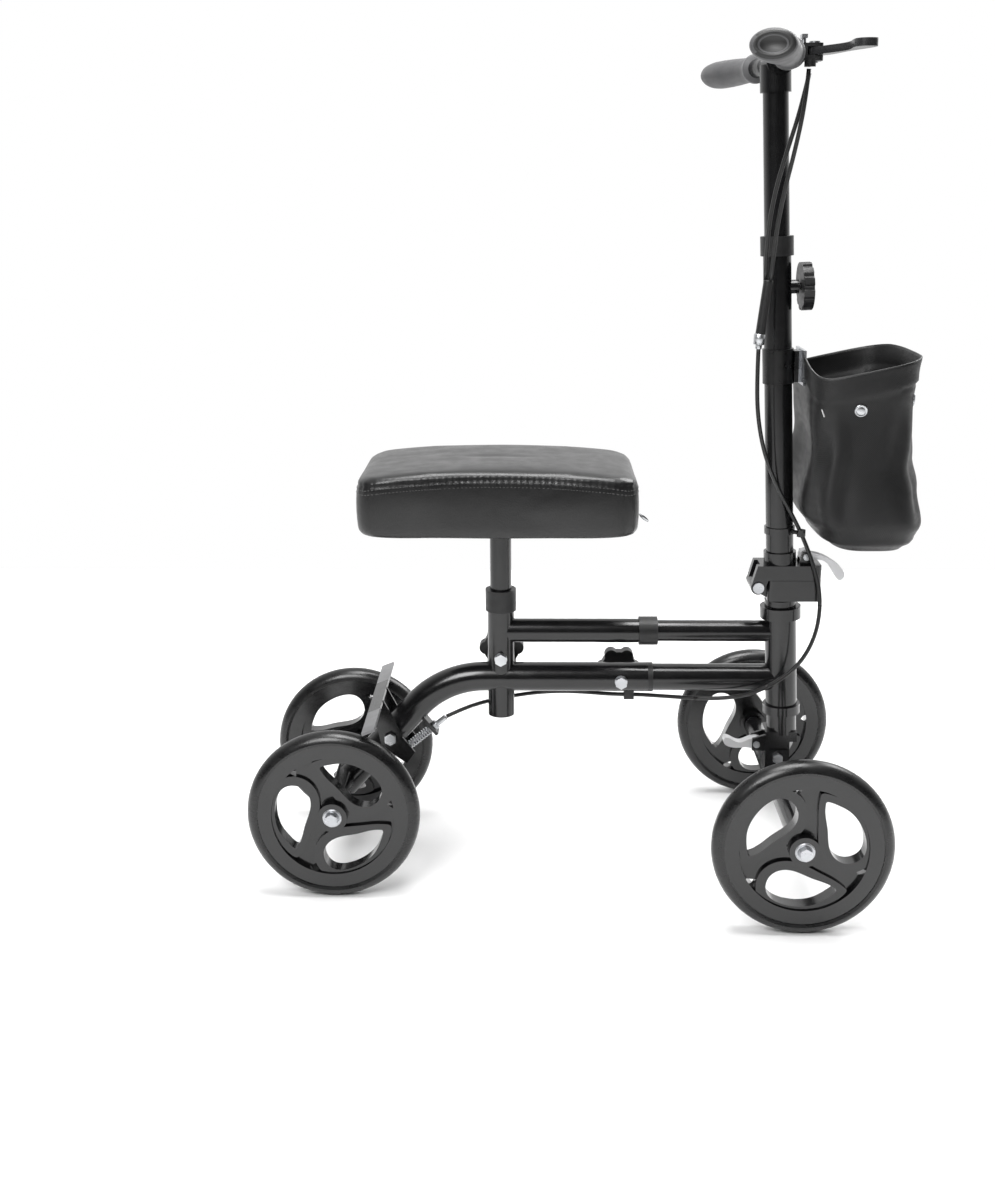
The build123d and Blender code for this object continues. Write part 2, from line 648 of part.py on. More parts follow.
def stem_tube():
    """Inner tube of the column, up to the handlebar clamp."""
    tube = column_rod(STEM_BOTTOM, STEM_TOP, STEM_R)
    return tube - column_rod(STEM_BOTTOM - 1, STEM_TOP - 6, STEM_R - TUBE_WALL)


def bar_points():
    """Corner points of the swept-back handlebar."""
    x = axis_at(BAR_Z)[0]
    return [(x - BAR_SWEEP, -GRIP_END_Y + 3, BAR_Z - 1), (x + 3, -78, BAR_Z), (x + 3, 78, BAR_Z),
            (x - BAR_SWEEP, GRIP_END_Y - 3, BAR_Z - 1)]


def handlebar():
    """Handlebar tube, swept back towards the rider."""
    path = tube_path(bar_points(), 60)
    return swept(path, BAR_R) - swept(path, BAR_R - TUBE_WALL)


def handlebar_clamp():
    """Clamp that holds the bar on the stem, with its cap."""
    x = axis_at(BAR_Z)[0] + 3
    body = cross_rod(x, BAR_Z, BAR_R + 5, -20, 20)
    body += column_rod(BAR_Z - 34, BAR_Z - 4, STEM_R + 3)
    body -= column_rod(BAR_Z - 40, STEM_TOP, STEM_R)
    return body - cross_rod(x, BAR_Z, BAR_R, -30, 30)


def grip(side):
    """Palm-rest grip: round at its collar, broad and flat at its end."""
    start = Vector(*bar_points()[1])
    end = Vector(*bar_points()[0])
    along = end - start
    sections = []
    for y, width, height, back in ((GRIP_START_Y, 32, 32, 0), (122, 30, 30, 0), (160, 38, 32, 3),
                                   (196, 47, 33, 7), (GRIP_END_Y, 44, 29, 7)):
        point = start + along * ((y + start.Y) / (start.Y - end.Y))
        plane = Plane(origin=point - Vector(back, 0, 0), x_dir=Vector(0, 0, 1).cross(along), z_dir=along)
        sections.append(plane * Ellipse(width / 2, height / 2))
    body = loft(sections)
    stretch = (end - start) * 1.5
    body -= rod(tuple(start), tuple(start + stretch), BAR_R)
    return body if side < 0 else mirror(body, Plane.XZ)


def lever_perch():
    """Clamp ring on the bar with the forward ears that carry the brake lever."""
    x, y, z = LEVER_PIVOT
    bar_x = axis_at(BAR_Z)[0]
    ring = cross_rod(bar_x + 1, BAR_Z, BAR_R + 4.5, y - 10, y + 12)
    arm = block(bar_x + 4, x + 8, y - 9, y + 9, z - 10, z + 8)
    arm = fillet(arm.edges().filter_by(Axis.Z), 4)
    perch = ring + arm
    perch += rod((x - 5, y - 4, z - 16), (x - 5, y - 4, z - 8), 6)
    perch -= block(x - 9, x + 20, y - 20, y + 20, z - 4.4, z + 4.4)
    perch -= swept(tube_path(bar_points(), 60), BAR_R)
    perch -= rod((x, y, z - 20), (x, y, z + 20), PIN_R)
    return perch - rod((x - 12, y - 2, z + 3), (x - 12, y - 2, z + 20), 2.5 + RUN)


def lever_pin():
    """Pivot screw of the brake lever."""
    x, y, z = LEVER_PIVOT
    return rod((x, y, z - 12), (x, y, z + 8), PIN_R) + rod((x, y, z + 8), (x, y, z + 10), 6)


def brake_lever():
    """Hand lever: a boss on the pivot and a curved blade along the grip."""
    x, y, z = LEVER_PIVOT
    outline = [(x - 6, y + 2), (x + 7, y + 5), (x + 21, y - 22), (x + 33, y - 62), (x + 38, y - 104),
               (x + 29, y - 104), (x + 23, y - 64), (x + 11, y - 30), (x - 3, y - 8)]
    blade = make_face(Spline(*[(px, py) for px, py in outline], periodic=True))
    lever = extrude(Pos(0, 0, z - 4) * blade, 8) + rod((x, y, z - 4), (x, y, z + 4), 8)
    return lever - rod((x, y, z - 10), (x, y, z + 10), PIN_R + RUN)


def lock_button():
    """Small T-shaped parking lock pin on top of the perch."""
    x, y, z = LEVER_PIVOT
    stem = rod((x - 12, y - 2, z + 6.5), (x - 12, y - 2, z + 15), 2.5)
    return stem + block(x - 15, x - 9, y - 8, y + 4, z + 13, z + 17)


# ---- seat ----

def seat_post():
    """Seat post with the slot that the clamp bolt passes through."""
    low = SEAT_BOLT_Z - 16
    post = rod((SEAT_X, 0, low), (SEAT_X, 0, CUSHION_BOTTOM - PLATE_THICK), POST_R)
    post -= rod((SEAT_X, 0, low - 1), (SEAT_X, 0, CUSHION_BOTTOM - PLATE_THICK - 4), POST_R - TUBE_WALL)
    reach = CLAMP_BOLT_R + GAP
    post -= block(SEAT_X - reach, SEAT_X + reach, -20, 20, SEAT_BOLT_Z, SEAT_BOLT_Z + SEAT_TRAVEL)
    for z in (SEAT_BOLT_Z, SEAT_BOLT_Z + SEAT_TRAVEL):
        post -= cross_rod(SEAT_X, z, reach, -20, 20)
    return post


def seat_plate():
    """Flanged plate between the post and the cushion."""
    low = CUSHION_BOTTOM - PLATE_THICK
    plate = block(SEAT_X - 85, SEAT_X + 85, -55, 55, low + 4, CUSHION_BOTTOM)
    plate = fillet(plate.edges().filter_by(Axis.Z), 14)
    return plate + rod((SEAT_X, 0, low), (SEAT_X, 0, low + 5), POST_R + 14)


def seat_cushion():
    """Padded knee rest, crowned along its length."""
    half = CUSHION_LENGTH / 2
    high = CUSHION_BOTTOM + CUSHION_HEIGHT
    shoulder = high - CUSHION_CROWN
    middle = SEAT_X - 2
    crown = ThreePointArc((middle - half, 0, shoulder), (middle, 0, high), (middle + half, 0, shoulder))
    sides = Polyline((middle + half, 0, shoulder), (middle + half, 0, CUSHION_BOTTOM),
                     (middle - half, 0, CUSHION_BOTTOM), (middle - half, 0, shoulder))
    profile = extrude(make_face([crown, sides]), CUSHION_WIDTH / 2, dir=(0, 1, 0), both=True)
    plan = Pos(middle, 0, CUSHION_BOTTOM) * RectangleRounded(CUSHION_LENGTH, CUSHION_WIDTH, CUSHION_CORNER)
    cushion = profile & extrude(plan, CUSHION_HEIGHT + 5)
    low_edges = cushion.edges().group_by(Axis.Z)[0]
    return chamfer(low_edges, 5)


# ---- rear brake ----

def brake_yoke():
    """Two side plates over the tail tube, joined by the shoe beam and the cable pin."""
    outline = [(37, 199.3), (51, 205), (64, 180), (74, 158), (88, 140), (78, 126), (48, 146)]
    yoke = None
    for side in (-1, 1):
        ends = sorted((side * YOKE_Y, side * (YOKE_Y + YOKE_THICK)))
        plate = side_plate(outline, *ends) - cross_rod(BRAKE_X, BRAKE_Z, PIN_R + RUN, -30, 30)
        yoke = plate if yoke is None else yoke + plate
    yoke += shoe_plate(-SHOE_INNER_Y, SHOE_INNER_Y)
    return yoke + cross_rod(79, 136, 4, -YOKE_Y - 1, YOKE_Y + 1)


def shoe_plate(y_from, y_to):
    """Flat strip across the tyres, tilted up towards the front."""
    strip = Pos(43, (y_from + y_to) / 2, 201.5) * Rot(0, -22, 0) * Box(16, y_to - y_from, 3)
    return strip


def brake_shoes():
    """Steel shoes over the two rear tyres."""
    return joined([shoe_plate(-SHOE_OUTER_Y, -SHOE_INNER_Y), shoe_plate(SHOE_INNER_Y, SHOE_OUTER_Y)])


def brake_pivot_bolt():
    """Pivot bolt of the brake yoke, with its nut."""
    face = YOKE_Y + YOKE_THICK + GAP
    bolt = cross_rod(BRAKE_X, BRAKE_Z, PIN_R, -face - 1, face + 1)
    bolt += hex_head((BRAKE_X, -face, BRAKE_Z), (0, -1, 0))
    return bolt + hex_head((BRAKE_X, face, BRAKE_Z), (0, 1, 0))


PULL_FROM = (80.5, 0, 140.5)
PULL_TO = (106.5, 0, 161.5)
PULL_END = (124.0, 0, 175.6)


PULL_ANGLE = degrees(atan2(PULL_TO[2] - PULL_FROM[2], PULL_TO[0] - PULL_FROM[0]))
TAB_THICK = 4.0


def pull_plane(ahead):
    """Plane square to the brake pull, its x pointing up towards the tail tube."""
    angle = radians(PULL_ANGLE)
    origin = (PULL_TO[0] + ahead * cos(angle), 0, PULL_TO[2] + ahead * sin(angle))
    return Plane(origin=origin, x_dir=(-sin(angle), 0, cos(angle)), z_dir=(cos(angle), 0, sin(angle)))


def adjuster_tab():
    """Tab under the tail tube that the cable adjuster screws into."""
    return extrude(pull_plane(GAP) * Pos(12, 0, 0) * Rectangle(42, 18), TAB_THICK)


def adjuster_hole():
    """Hole in the tab for the cable adjuster."""
    return rod(PULL_FROM, PULL_END, 3.5 + RUN)


def cable_adjuster():
    """Threaded cable adjuster with its lock nut, screwed into the tab."""
    barrel = rod(PULL_TO, PULL_END, 3.5)
    barrel += extrude(pull_plane(TAB_THICK + 2 * GAP) * RegularPolygon(6, 6), 4)
    return barrel - rod(PULL_FROM, PULL_END, 1.2)


def brake_spring():
    """Return spring between the yoke and the tab, as a plain sleeve of its outer size."""
    return rod(PULL_FROM, PULL_TO, 5.5) - rod(PULL_FROM, PULL_TO, 4)


# ---- brake cable, hand-laid along its real route ----

UPPER_A = [(521, -86, 930), (519, -83, 896), (512, -73, 848), (503, -60, 800), (497, -50, 752),
           (495, -43.5, 707.5)]
UPPER_B = [(523, -78, 926), (516, -76, 890), (504, -66, 845), (494, -54, 800), (489, -44, 752),
           (490, -37, 707.5)]
COLUMN_CABLE = [(484, -40, 633), (483.5, -38, 590), (486.5, -34.5, 548), (496, -29, 506),
                (513, -24, 466), (531, -20, 434), (544.5, -19.5, 408), (557, -24, 376)]
FRAME_CABLE = [(557.3, -24.1, 375), (565, -27, 348), (566.5, -29, 318), (561, -31, 288), (547, -33, 260),
               (527, -33, 240), (506, -29, 225), (484, -20, 212), (458, -9, 204), (428, -2, 201.5),
               (393, 0, 203), (362, 0, 205.2), (346, 0, 205.3)]
REAR_CABLE = [(345, 0, 205.3), (322, 2, 205.2), (296, 6, 205.9), (268, 12, 205), (240, 18, 201.5),
              (212, 21, 196.6), (188, 19, 192.4), (164, 12, 189), (142, 5, 183), (125, 0.3, 176.3)]


def cable_path(points):
    """Route with tangent arcs at its corners, and the radius of each arc."""
    vectors = [Vector(*point) for point in points]
    radii = []
    for before, corner, after in zip(vectors, vectors[1:], vectors[2:]):
        turn = (corner - before).get_angle(after - corner)
        shorter = min((corner - before).length, (after - corner).length)
        radii.append(round(0.45 * shorter / tan(radians(turn / 2)), 1))
    print("cable radii", radii)
    return tube_path(points, radii)


def cable(points):
    """Round brake cable along one stretch."""
    return swept(cable_path(points), CABLE_R)


def upper_cables():
    """The two cables from the lever down to the splitter."""
    return joined([cable(UPPER_A), cable(UPPER_B)])


def cable_splitter():
    """Moulded sleeve that joins the two upper cables into one, with its ferrule."""
    sleeve = rod(SPLITTER_TOP, SPLITTER_BOTTOM, 5.5)
    return fillet(sleeve.edges(), 1.5)


# ---- quick-release levers ----

def quick_lever(at, points, thick, half):
    """Cam boss on a cross pin with a blade whose outline lies in the XZ plane."""
    blade = make_face(Spline(*[(x, -half, z) for x, z in points], periodic=True))
    lever = extrude(blade, 2 * half, dir=(0, 1, 0)) + cross_rod(*at, thick, -half, half)
    return lever - cross_rod(*at, PIN_R + RUN, -half - 1, half + 1)


def fold_lever():
    """Lever that locks the folding joint."""
    x, z = FOLD_LEVER_AT
    points = [(x - 5, z + 4), (x + 10, z + 3), (x + 30, z - 5), (x + 45, z - 27), (x + 43, z - 29),
              (x + 27, z - 11), (x + 9, z - 5), (x - 4, z - 5)]
    return quick_lever(FOLD_LEVER_AT, points, 7.5, 6.0)


def fork_lever():
    """Lever that locks the front axle leg to the fork."""
    x, z = FORK_LEVER_AT
    points = [(x + 4, z + 6), (x - 8, z + 5), (x - 22, z + 1), (x - 38, z + 6), (x - 39, z + 2),
              (x - 24, z - 6), (x - 8, z - 6), (x + 3, z - 6)]
    return quick_lever(FORK_LEVER_AT, points, 6.8, 6.0)


def fold_draw_bolt():
    """Draw bolt and cam pin under the fold lever."""
    x, z = FOLD_LEVER_AT
    bolt = rod((x, 0, BLOCK_BOTTOM + 5), (x, 0, BLOCK_TOP + FLANGE_THICK), 3.0)
    return joined([bolt, cross_rod(x, z, PIN_R, -12.5, 12.5)])


def main():
    """Make and write every piece."""
    os.makedirs("parts", exist_ok=True)
    axles = (("rear", 0.0, REAR_HALF_TRACK, REAR_AXLE_HALF),
             ("front", WHEELBASE, FRONT_HALF_TRACK, FRONT_AXLE_HALF))
    for end, x, half_track, tube_half in axles:
        write(wheel_bearings(x, half_track), f"{end}_wheel_bearings")
        write(axle_bolts(x, half_track, tube_half), f"{end}_axle_bolts")
        for side, sign in (("right", -1), ("left", 1)):
            place = wheel_place(x, sign * half_track, WHEEL_TURNS[f"{end}_{side}"])
            write(place * rim(), f"{end}_rim_{side}")
            write(place * tyre(), f"{end}_tyre_{side}")
    pieces = {
        "rear_frame": rear_frame, "seat_tube_collar": seat_tube_collar, "beam_collars": beam_collars,
        "clamp_bolts": clamp_bolts, "seat_knob": star_knob_seat, "frame_knob": star_knob_frame,
        "brake_pivot_bolt": brake_pivot_bolt, "cable_adjuster": cable_adjuster,
        "brake_spring": brake_spring, "beam_cable_clip": beam_cable_clip,
        "brake_yoke": brake_yoke, "brake_shoes": brake_shoes,
        "front_frame": front_frame, "headset_cups": headset_cups, "headset_bearings": headset_bearings,
        "fork": fork, "fork_fasteners": fork_fasteners, "fork_bracket": fork_bracket,
        "fork_lever": fork_lever, "headset_nut": headset_nut,
        "fold_block": fold_block, "fold_pin": fold_pin, "fold_lever": fold_lever,
        "fold_draw_bolt": fold_draw_bolt, "column_foot": column_foot, "column_tube": column_tube,
        "column_collar": column_collar, "height_knob": height_knob,
        "column_cable_clip": column_cable_clip, "basket_bracket": basket_bracket, "basket": basket,
        "stem_tube": stem_tube, "handlebar": handlebar, "handlebar_clamp": handlebar_clamp,
        "lever_perch": lever_perch, "lever_pin": lever_pin, "brake_lever": brake_lever,
        "lock_button": lock_button, "seat_post": seat_post, "seat_plate": seat_plate,
        "seat_cushion": seat_cushion, "cable_upper": upper_cables, "cable_splitter": cable_splitter,
    }
    for name, make in pieces.items():
        write(make(), name)
    write(grip(-1), "grip_right")
    write(grip(1), "grip_left")
    for name, points in (("column", COLUMN_CABLE), ("frame", FRAME_CABLE), ("rear", REAR_CABLE)):
        write(cable(points), f"cable_{name}")


main()
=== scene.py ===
"""Looks of the knee scooter: finishes, knee rest, basket, grips, cable, spring and studio."""

import json
import logging
from dataclasses import dataclass, field
from enum import Enum
from math import cos, exp, pi, radians, sin, sqrt, tan
from typing import Iterable, Sequence

import bmesh
import bpy
from mathutils import Matrix, Vector, noise

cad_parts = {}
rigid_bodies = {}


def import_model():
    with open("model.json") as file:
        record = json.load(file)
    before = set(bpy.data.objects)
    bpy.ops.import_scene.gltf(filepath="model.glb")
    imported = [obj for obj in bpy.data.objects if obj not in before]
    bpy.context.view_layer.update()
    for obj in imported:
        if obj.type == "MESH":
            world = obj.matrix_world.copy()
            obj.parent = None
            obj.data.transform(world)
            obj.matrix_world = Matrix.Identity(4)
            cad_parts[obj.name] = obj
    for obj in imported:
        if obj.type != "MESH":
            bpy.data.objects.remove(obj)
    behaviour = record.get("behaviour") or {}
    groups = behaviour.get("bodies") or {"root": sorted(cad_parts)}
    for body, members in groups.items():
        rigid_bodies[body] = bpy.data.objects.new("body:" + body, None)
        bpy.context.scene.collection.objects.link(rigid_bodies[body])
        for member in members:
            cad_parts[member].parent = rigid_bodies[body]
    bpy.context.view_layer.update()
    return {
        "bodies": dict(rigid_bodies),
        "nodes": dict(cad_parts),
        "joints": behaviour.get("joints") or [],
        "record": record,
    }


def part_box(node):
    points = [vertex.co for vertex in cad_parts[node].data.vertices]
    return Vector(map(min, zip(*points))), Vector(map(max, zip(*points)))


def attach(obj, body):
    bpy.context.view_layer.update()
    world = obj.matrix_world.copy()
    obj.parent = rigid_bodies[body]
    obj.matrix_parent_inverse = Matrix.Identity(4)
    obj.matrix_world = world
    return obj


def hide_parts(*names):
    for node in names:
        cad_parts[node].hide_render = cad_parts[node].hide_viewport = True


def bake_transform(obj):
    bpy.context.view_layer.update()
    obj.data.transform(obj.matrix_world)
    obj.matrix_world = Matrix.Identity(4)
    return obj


LOG = logging.getLogger("knee_scooter")
MM = 0.001
ORIGIN_X = 0.288
RAKE = radians(2.3)

Point = tuple[float, float, float]


def at(x: float, y: float, z: float) -> Vector:
    """Point from millimetres ahead of the rear axle, to the left and above the floor."""
    return Vector((x * MM - ORIGIN_X, y * MM, z * MM))


# ---- finishes ----

class Pattern(Enum):
    """Fine surface pattern of a finish."""

    ORANGE_PEEL = "orange peel"
    SPARK = "moulded grain"
    BRUSHED = "brushed"
    HIDE = "hide grain"
    WEAVE = "plain weave"


class Shader:
    """Builds one node material around a Principled shader."""

    def __init__(self, name: str, roughness: float, metallic: float = 0.0) -> None:
        """Start an empty material.

        Args:
            name: Name of the material.
            roughness: Roughness set on the shader.
            metallic: Metallic set on the shader.
        """
        self.material = bpy.data.materials.new(name)
        self.material.use_nodes = True
        self.tree = self.material.node_tree
        self.bsdf = self.tree.nodes["Principled BSDF"]
        self.bsdf.inputs["Roughness"].default_value = roughness
        self.bsdf.inputs["Metallic"].default_value = metallic
        self.coordinates = self.tree.nodes.new("ShaderNodeTexCoord").outputs["Object"]

    def node(self, kind: str, **settings: object) -> bpy.types.Node:
        """Add a node and set its properties.

        Args:
            kind: Node type.
            settings: Properties by name.

        Returns:
            The new node.
        """
        made = self.tree.nodes.new(kind)
        for key, value in settings.items():
            setattr(made, key, value)
        return made

    def link(self, source: bpy.types.NodeSocket, target: bpy.types.NodeSocket) -> None:
        """Join two sockets."""
        self.tree.links.new(source, target)

    def placed(self, scale: Sequence[float]) -> bpy.types.NodeSocket:
        """Object coordinates stretched along each axis.

        Args:
            scale: Stretch along X, Y and Z.

        Returns:
            Vector socket.
        """
        mapping = self.node("ShaderNodeMapping")
        mapping.inputs["Scale"].default_value = scale
        self.link(self.coordinates, mapping.inputs["Vector"])
        return mapping.outputs["Vector"]

    def noise(self, scale: float, detail: float = 3.0,
              stretch: Sequence[float] = (1, 1, 1)) -> bpy.types.NodeSocket:
        """Noise value over the piece.

        Args:
            scale: Cells per metre.
            detail: Octaves.
            stretch: Stretch along each axis.

        Returns:
            Value socket.
        """
        made = self.node("ShaderNodeTexNoise")
        made.inputs["Scale"].default_value = scale
        made.inputs["Detail"].default_value = detail
        self.link(self.placed(stretch), made.inputs["Vector"])
        return made.outputs["Fac"]

    def range(self, value: bpy.types.NodeSocket, low: float, high: float,
              near: float = 0.35, far: float = 0.65) -> bpy.types.NodeSocket:
        """Value squeezed into a range.

        Args:
            value: Value socket.
            low: Result at near.
            high: Result at far.
            near: Lower input.
            far: Upper input.

        Returns:
            Value socket.
        """
        made = self.node("ShaderNodeMapRange")
        for name, number in (("From Min", near), ("From Max", far), ("To Min", low), ("To Max", high)):
            made.inputs[name].default_value = number
        self.link(value, made.inputs["Value"])
        return made.outputs["Result"]

    def tint(self, value: bpy.types.NodeSocket, dark: Sequence[float], light: Sequence[float]) -> None:
        """Colour the surface between two tones.

        Args:
            value: Value socket that picks the tone.
            dark: Tone at the low end.
            light: Tone at the high end.
        """
        ramp = self.node("ShaderNodeValToRGB")
        ramp.color_ramp.elements[0].position = 0.35
        ramp.color_ramp.elements[1].position = 0.65
        ramp.color_ramp.elements[0].color = (*dark, 1)
        ramp.color_ramp.elements[1].color = (*light, 1)
        self.link(value, ramp.inputs["Fac"])
        self.link(ramp.outputs["Color"], self.bsdf.inputs["Base Color"])

    def rough(self, value: bpy.types.NodeSocket, low: float, high: float) -> None:
        """Vary the roughness between two values."""
        self.link(self.range(value, low, high), self.bsdf.inputs["Roughness"])

    def bump(self, value: bpy.types.NodeSocket, depth: float, strength: float = 1.0) -> None:
        """Raise the surface by a value, on top of any earlier bump.

        Args:
            value: Height socket.
            depth: Height in metres.
            strength: Share of the effect.
        """
        made = self.node("ShaderNodeBump")
        made.inputs["Distance"].default_value = depth
        made.inputs["Strength"].default_value = strength
        self.link(value, made.inputs["Height"])
        normal = self.bsdf.inputs["Normal"]
        if normal.is_linked:
            self.link(normal.links[0].from_socket, made.inputs["Normal"])
        self.link(made.outputs["Normal"], normal)

    def voronoi(self, scale: float) -> bpy.types.NodeSocket:
        """Distance to the nearest cell point over the piece.

        Args:
            scale: Cells per metre.

        Returns:
            Value socket.
        """
        made = self.node("ShaderNodeTexVoronoi")
        made.inputs["Scale"].default_value = scale
        self.link(self.placed((1, 1, 1)), made.inputs["Vector"])
        return made.outputs["Distance"]

    def weave(self, pitch: float) -> bpy.types.NodeSocket:
        """Over-and-under thread height, from bands along and across the piece.

        Args:
            pitch: Thread spacing in metres.

        Returns:
            Value socket.
        """
        bands = []
        for direction in ("DIAGONAL", "Z"):
            wave = self.node("ShaderNodeTexWave", wave_type="BANDS", bands_direction=direction)
            wave.inputs["Scale"].default_value = pi / (10 * pitch)
            wave.inputs["Distortion"].default_value = 0.6
            wave.inputs["Detail Scale"].default_value = 3.0
            self.link(self.placed((1, 1, 1)), wave.inputs["Vector"])
            bands.append(wave.outputs["Fac"])
        both = self.node("ShaderNodeMath", operation="MULTIPLY")
        self.link(bands[0], both.inputs[0])
        self.link(bands[1], both.inputs[1])
        return both.outputs["Value"]


@dataclass(frozen=True)
class Finish:
    """Surface finish of a group of pieces."""

    name: str
    dark: tuple[float, float, float]
    light: tuple[float, float, float]
    roughness: tuple[float, float]
    pattern: Pattern
    metallic: float = 0.0
    coat: float = 0.0
    sheen: float = 0.0
    gloss: float = 0.5
    depth: float = 0.0001
    pitch: float = 0.001

    def material(self) -> bpy.types.Material:
        """Make the finish's material.

        Returns:
            The material.
        """
        shader = Shader(self.name, self.roughness[0], self.metallic)
        shader.bsdf.inputs["Coat Weight"].default_value = self.coat
        shader.bsdf.inputs["Specular IOR Level"].default_value = self.gloss
        shader.bsdf.inputs["Coat Roughness"].default_value = 0.12
        shader.bsdf.inputs["Sheen Weight"].default_value = self.sheen
        shader.bsdf.inputs["Sheen Roughness"].default_value = 0.45
        clouds = shader.noise(14.0, 4.0)
        shader.tint(clouds, self.dark, self.light)
        scuffs = shader.noise(55.0, 6.0, (1, 1, 2.5))
        shader.rough(scuffs, *self.roughness)
        self.surface(shader)
        return shader.material

    def surface(self, shader: Shader) -> None:
        """Add the fine pattern of the finish.

        Args:
            shader: The material being built.
        """
        per_metre = 1 / self.pitch
        if self.pattern is Pattern.ORANGE_PEEL:
            shader.bump(shader.noise(per_metre, 2.0), self.depth, 0.35)
        elif self.pattern is Pattern.SPARK:
            shader.bump(shader.voronoi(per_metre), self.depth, 0.4)
        elif self.pattern is Pattern.BRUSHED:
            shader.bump(shader.noise(per_metre, 3.0, (1, 0.08, 1)), self.depth, 0.3)
        elif self.pattern is Pattern.HIDE:
            shader.bump(shader.voronoi(per_metre), self.depth, 0.5)
            shader.bump(shader.noise(38.0, 3.0), 0.0012, 0.25)
        else:
            shader.bump(shader.weave(self.pitch), self.depth, 0.7)
            shader.bump(shader.noise(30.0, 3.0), 0.0015, 0.3)


POWDER_COAT = Finish("satin_powder_coat", (0.0035, 0.0035, 0.0038), (0.006, 0.006, 0.0064), (0.2, 0.25),
                     Pattern.ORANGE_PEEL, coat=0.15, depth=0.00003, pitch=0.0016)
MOULDING = Finish("black_nylon_moulding", (0.005, 0.005, 0.0053), (0.009, 0.009, 0.0093), (0.38, 0.5),
                  Pattern.SPARK, depth=0.00008, pitch=0.0008)
WHEEL_PLASTIC = Finish("black_wheel_plastic", (0.003, 0.003, 0.0033), (0.0055, 0.0055, 0.0058), (0.16, 0.24),
                       Pattern.ORANGE_PEEL, coat=0.3, depth=0.00004, pitch=0.0018)
TYRE = Finish("black_polyurethane_tyre", (0.004, 0.004, 0.0042), (0.008, 0.008, 0.0082), (0.24, 0.34),
              Pattern.ORANGE_PEEL, depth=0.00015, pitch=0.002)
ZINC = Finish("bright_zinc", (0.42, 0.43, 0.45), (0.55, 0.56, 0.57), (0.26, 0.38),
              Pattern.BRUSHED, metallic=1.0, depth=0.00006, pitch=0.0006)
LEVER_ALLOY = Finish("pale_cast_alloy", (0.5, 0.5, 0.51), (0.64, 0.64, 0.65), (0.34, 0.46),
                     Pattern.BRUSHED, metallic=0.55, depth=0.00008, pitch=0.0009)
BLADE_COAT = Finish("black_coated_blade", (0.009, 0.009, 0.0095), (0.016, 0.016, 0.017), (0.3, 0.4),
                    Pattern.ORANGE_PEEL, coat=0.2, depth=0.0001, pitch=0.0012)
CABLE_SKIN = Finish("cable_jacket", (0.006, 0.006, 0.006), (0.011, 0.011, 0.011), (0.35, 0.45),
                    Pattern.ORANGE_PEEL, depth=0.00005, pitch=0.001)
GRIP_SKIN = Finish("grey_soft_grip", (0.05, 0.05, 0.052), (0.075, 0.075, 0.078), (0.5, 0.64),
                   Pattern.SPARK, sheen=0.1, depth=0.00016, pitch=0.0012)
GRIP_CORE = Finish("black_grip_end", (0.01, 0.01, 0.01), (0.018, 0.018, 0.018), (0.4, 0.5),
                   Pattern.SPARK, depth=0.0001, pitch=0.001)
VINYL = Finish("black_vinyl", (0.0045, 0.0045, 0.0046), (0.0075, 0.0075, 0.0077), (0.3, 0.38),
               Pattern.HIDE, coat=0.08, gloss=0.45, depth=0.0002, pitch=0.0013)
NYLON = Finish("woven_nylon", (0.0045, 0.0045, 0.0047), (0.008, 0.008, 0.0083), (0.4, 0.5),
               Pattern.WEAVE, gloss=0.35, depth=0.00025, pitch=0.0011)
SHOE_STEEL = Finish("grey_shoe_steel", (0.16, 0.16, 0.165), (0.24, 0.24, 0.245), (0.4, 0.52),
                    Pattern.BRUSHED, metallic=0.4, depth=0.00008, pitch=0.0009)
TACK_THREAD = Finish("pale_tack_thread", (0.4, 0.4, 0.4), (0.55, 0.55, 0.55), (0.5, 0.65),
                     Pattern.BRUSHED, depth=0.00005, pitch=0.0004)
THREAD = Finish("black_thread", (0.03, 0.03, 0.03), (0.05, 0.05, 0.05), (0.5, 0.65),
                Pattern.BRUSHED, sheen=0.2, depth=0.00005, pitch=0.0004)


# ---- mesh helpers ----

def new_piece(name: str, points: Iterable[Vector], faces: Iterable[Sequence[int]],
              finishes: Sequence[bpy.types.Material]) -> bpy.types.Object:
    """Make a smooth mesh piece.

    Args:
        name: Piece name.
        points: Corners in metres.
        faces: Corner numbers of each face.
        finishes: Materials, first one used.

    Returns:
        The new object.
    """
    mesh = bpy.data.meshes.new(name)
    mesh.from_pydata([tuple(p) for p in points], [], [tuple(f) for f in faces])
    for finish in finishes:
        mesh.materials.append(finish)
    shape = bmesh.new()
    shape.from_mesh(mesh)
    bmesh.ops.remove_doubles(shape, verts=shape.verts, dist=1e-6)
    bmesh.ops.recalc_face_normals(shape, faces=shape.faces)
    shape.to_mesh(mesh)
    shape.free()
    mesh.shade_smooth()
    piece = bpy.data.objects.new(name, mesh)
    bpy.context.scene.collection.objects.link(piece)
    return piece


def ring_faces(rings: int, around: int, closed: bool = True) -> list[tuple[int, ...]]:
    """Quads that join rings of points, with both end rings closed by one face.

    Args:
        rings: Number of rings.
        around: Points in each ring.
        closed: True closes the two end rings.

    Returns:
        Faces as corner numbers.
    """
    faces: list[tuple[int, ...]] = []
    for ring in range(rings - 1):
        for step in range(around):
            after = (step + 1) % around
            low, high = ring * around, (ring + 1) * around
            faces.append((low + step, low + after, high + after, high + step))
    if closed:
        faces.append(tuple(range(around))[::-1])
        faces.append(tuple(range((rings - 1) * around, rings * around)))
    return faces


